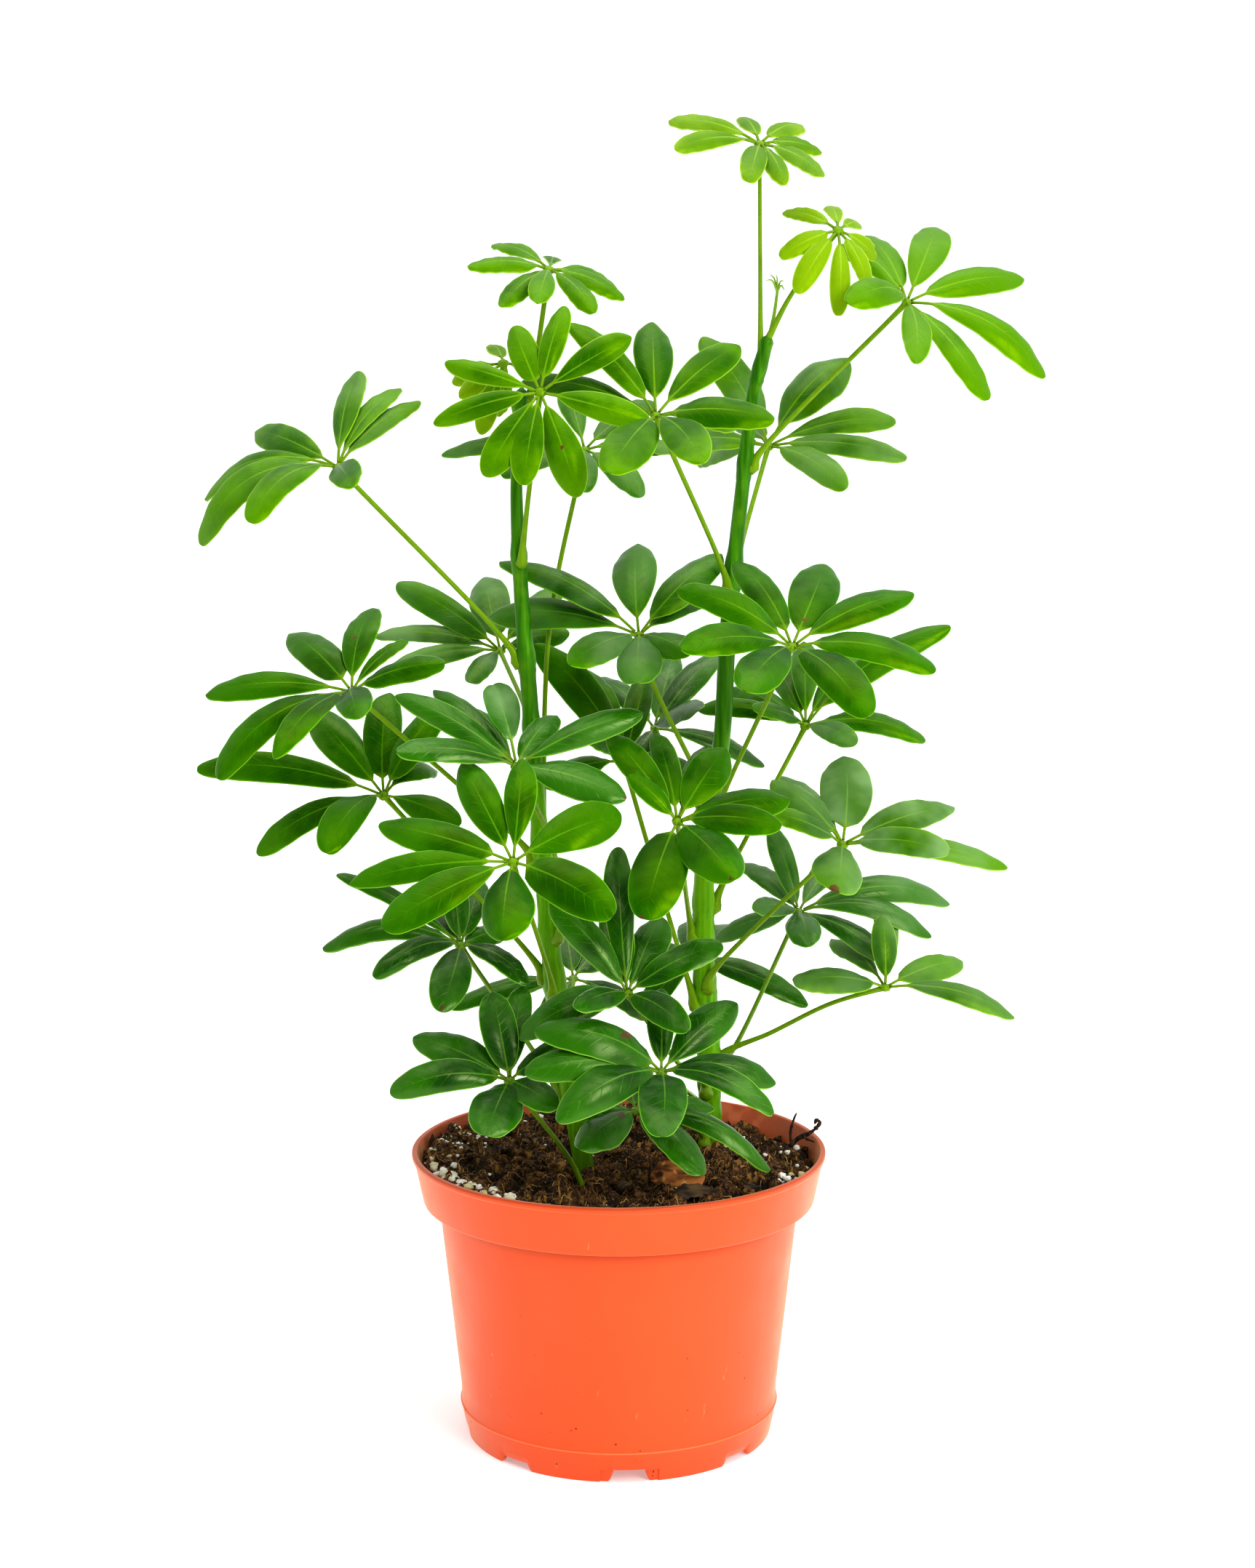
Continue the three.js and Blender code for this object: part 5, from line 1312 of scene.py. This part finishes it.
def leaf_finish(name, roughness, specular, gloss, light, dark, under, pale):
    """A leaf's material. Colour is a cloudy mix of light and dark that grows lighter towards the tip and the
    margins, then veins, midrib, a veil of dust and painted haze, margin, underside, stalk and blemishes are
    laid over it."""
    leaf = Finish(name, specular)
    leaf.set("Specular Tint", gloss)
    along, edge = leaf.mark("along"), leaf.mark("edge")
    off_rib = leaf.math("ABSOLUTE", leaf.mark("across"))
    cloud = leaf.plus(leaf.noise(75, 4), leaf.times(leaf.mark("tint"), 0.34))
    cloud = leaf.plus(cloud, leaf.times(leaf.rise(along, 0.3, 1.0), 0.24))
    cloud = leaf.plus(cloud, leaf.times(leaf.fall(edge, 0.0, 3.0), 0.14))
    leaf.paint(leaf.rise(cloud, 0.46, 1.05), dark, light)
    phase = leaf.math("SUBTRACT", leaf.times(along, VEINS), leaf.times(off_rib, VEIN_SLANT))
    wave = leaf.math("ABSOLUTE", leaf.math("SINE", leaf.times(phase, math.pi)))
    vein = leaf.times(leaf.fall(wave, 0.02, 0.2), leaf.fall(off_rib, 0.45, 0.85))
    rib_width = leaf.add("MapRange", {0: along, 1: 0.0, 2: 0.9, 3: 0.5, 4: 0.16})
    midrib = leaf.fall(leaf.math("DIVIDE", leaf.mark("rib"), rib_width), 0.5, 1.0)
    midrib = leaf.times(midrib, leaf.fall(along, 0.3, 0.95))
    dusty = leaf.times(leaf.mark("dusty"), leaf.rise(leaf.noise(40, 3), 0.3, 0.7))
    below = leaf.mix(leaf.times(midrib, 0.8), under, pale)
    below = leaf.mix(leaf.times(vein, 0.3), below, pale)
    stalk_colour = leaf.mix(leaf.noise(500, 3, (1, 1, 0.2)), shade(88, 128, 10), shade(122, 158, 32))
    blemish = leaf.rise(leaf.plus(leaf.mark("spot"), leaf.times(leaf.noise(900, 3), 0.6)), 0.82, 1.0)
    leaf.lay(pale, vein, 0.05)
    leaf.lay(pale, midrib, 0.36)
    # Partly dust and partly painted haze: a grey-green veil that pales leaves at the back and on the right.
    leaf.lay(shade(126, 160, 108), dusty)
    leaf.lay(pale, leaf.fall(edge, 0.18, 0.54), 0.85)
    leaf.lay(below, leaf.mark("under"))
    leaf.lay(stalk_colour, leaf.mark("stalk"))
    leaf.lay(leaf.mix(leaf.noise(1500), shade(60, 38, 26), shade(112, 72, 46)), blemish)
    dull = leaf.plus(leaf.noise(55, 3), leaf.times(dusty, 0.3))
    leaf.roughness(dull, roughness - 0.06, roughness + 0.12)
    relief = leaf.math("SUBTRACT", leaf.times(leaf.noise(240, 3), 0.35), leaf.times(vein, 0.3))
    leaf.bump(relief, 0.35, 0.5)
    return leaf.material


YELLOW_GLOSS, WHITE_GLOSS = (0.65, 1.0, 0.0, 1.0), (0.8, 1.0, 0.45, 1.0)
# bright and deep are partly painted light and shade: bright for leaves in the light, deep for old leaves low
# down in shade.
LEAF_FINISHES = {
    "young": leaf_finish(
        "young_leaf", 0.4, 0.42, YELLOW_GLOSS,
        shade(122, 160, 10), shade(78, 126, 0), shade(118, 156, 30), shade(168, 206, 66),
    ),
    "bright": leaf_finish(
        "bright_leaf", 0.33, 0.4, YELLOW_GLOSS,
        shade(80, 134, 0), shade(32, 90, 0), shade(92, 136, 34), shade(142, 190, 44),
    ),
    "mid": leaf_finish(
        "green_leaf", 0.29, 0.42, YELLOW_GLOSS,
        shade(48, 110, 0), shade(13, 69, 0), shade(76, 124, 34), shade(116, 176, 36),
    ),
    "deep": leaf_finish(
        "dark_leaf", 0.24, 0.52, WHITE_GLOSS,
        shade(44, 106, 0), shade(7, 62, 0), shade(66, 116, 30), shade(128, 186, 52),
    ),
}
print(len(LEAF_FINISHES), "leaf finishes")

# %% [markdown]
# ## The leaves
# Every leaf is one piece: stalk, hub and leaflets, as it grows. Real leaves have small faults, so a few carry
# brown or yellowish spots, given as [x, z, size] where the photograph shows them. Some carry a grey-green
# veil, partly dust and partly painted haze from glare, and some are lighter or darker than their tone.

# %% Leaves
USUAL_ARCH, CUPPED_STALKLET_SHARE = 0.1, 0.3
SPOTS = {
    "right": [(72.5, 326.5, 1.6)], "right_middle": [(85, 220, 3.0)], "front_low": [(3, 161, 2.8)],
    "front_right": [(44, 224.5, 1.1), (9, 208.8, 1.5)], "left_centre": [(2.6, 256.4, 1.2)],
    "bottom_front": [(1, 128.5, 2.2)], "lower_left": [(-70, 172.4, 1.5)], "rosette": [(-22, 393, 1.6)],
    "left": [(-103, 320, 1.4), (-100, 317, 1.1)],
}
# How much grey-green veil each leaf carries: partly dust, partly painted haze from glare on leaves at the
# back and on the right.
DUST_AND_HAZE = {
    "upper_right_back": 0.45, "right_middle": 0.85, "right_low": 0.8, "left_back": 0.7, "right_low_back": 0.4,
    "centre": 0.4, "upper_back": 0.5, "right_back": 0.25, "right_centre_back": 0.25, "upper_left": 0.2,
    "crown": 0.15,
}
LIGHTER = {
    "upper_right": 0.9, "right_middle": -0.35, "right_low": -0.2, "young_tip": 0.7, "crown": -0.3,
    "upper_centre": -0.45, "left": 0.25, "left_low": 0.35, "left_centre": 0.6, "right_low_back": 0.6,
    "bottom_front": 0.5, "front_low": 0.1, "bottom_left": 0.15, "lower_left": 0.1,
}
CUPPED = {("left_centre", 4): 0.8}  # a young, pale leaflet whose margins are still folded up

for seed, (name, plan) in enumerate(LEAVES.items()):
    leaf_random = np.random.default_rng(1938 + seed)
    tone, hub = plan["tone"], seen(plan["hub"])
    tips = np.array([seen((x, z, plan["hub"][2] + back)) for x, z, back, *_ in plan["tips"]])
    up = whorl_facing(tips - hub)
    parts = [stalk(plan), knob(hub, up, tips - hub)]
    for i, ((_, _, _, width, *arch), tip) in enumerate(zip(plan["tips"], tips)):
        cup = CUPPED.get((name, i), 0.0)
        bare = CUPPED_STALKLET_SHARE if cup else STALKLET_SHARES[tone]
        bow = arch[0] if arch else USUAL_ARCH
        blade = leaflet(hub, tip, up, width, bow, bare, leaf_random, SPOTS.get(name, []), cup)
        # The veil of dust and painted haze; a cupped leaflet takes it for its pale colour.
        dust = DUST_AND_HAZE.get(name, 0.0) * leaf_random.uniform(0.3, 1.3) + cup
        blade["marks"]["dusty"] = np.full(len(blade["points"]), dust)
        blade["marks"]["tint"] += LIGHTER.get(name, 0.0)
        parts.append(blade)
    piece("whorl_" + name, joined(parts), LEAF_FINISHES[tone], "leaf_" + tone, "leaf_" + name)
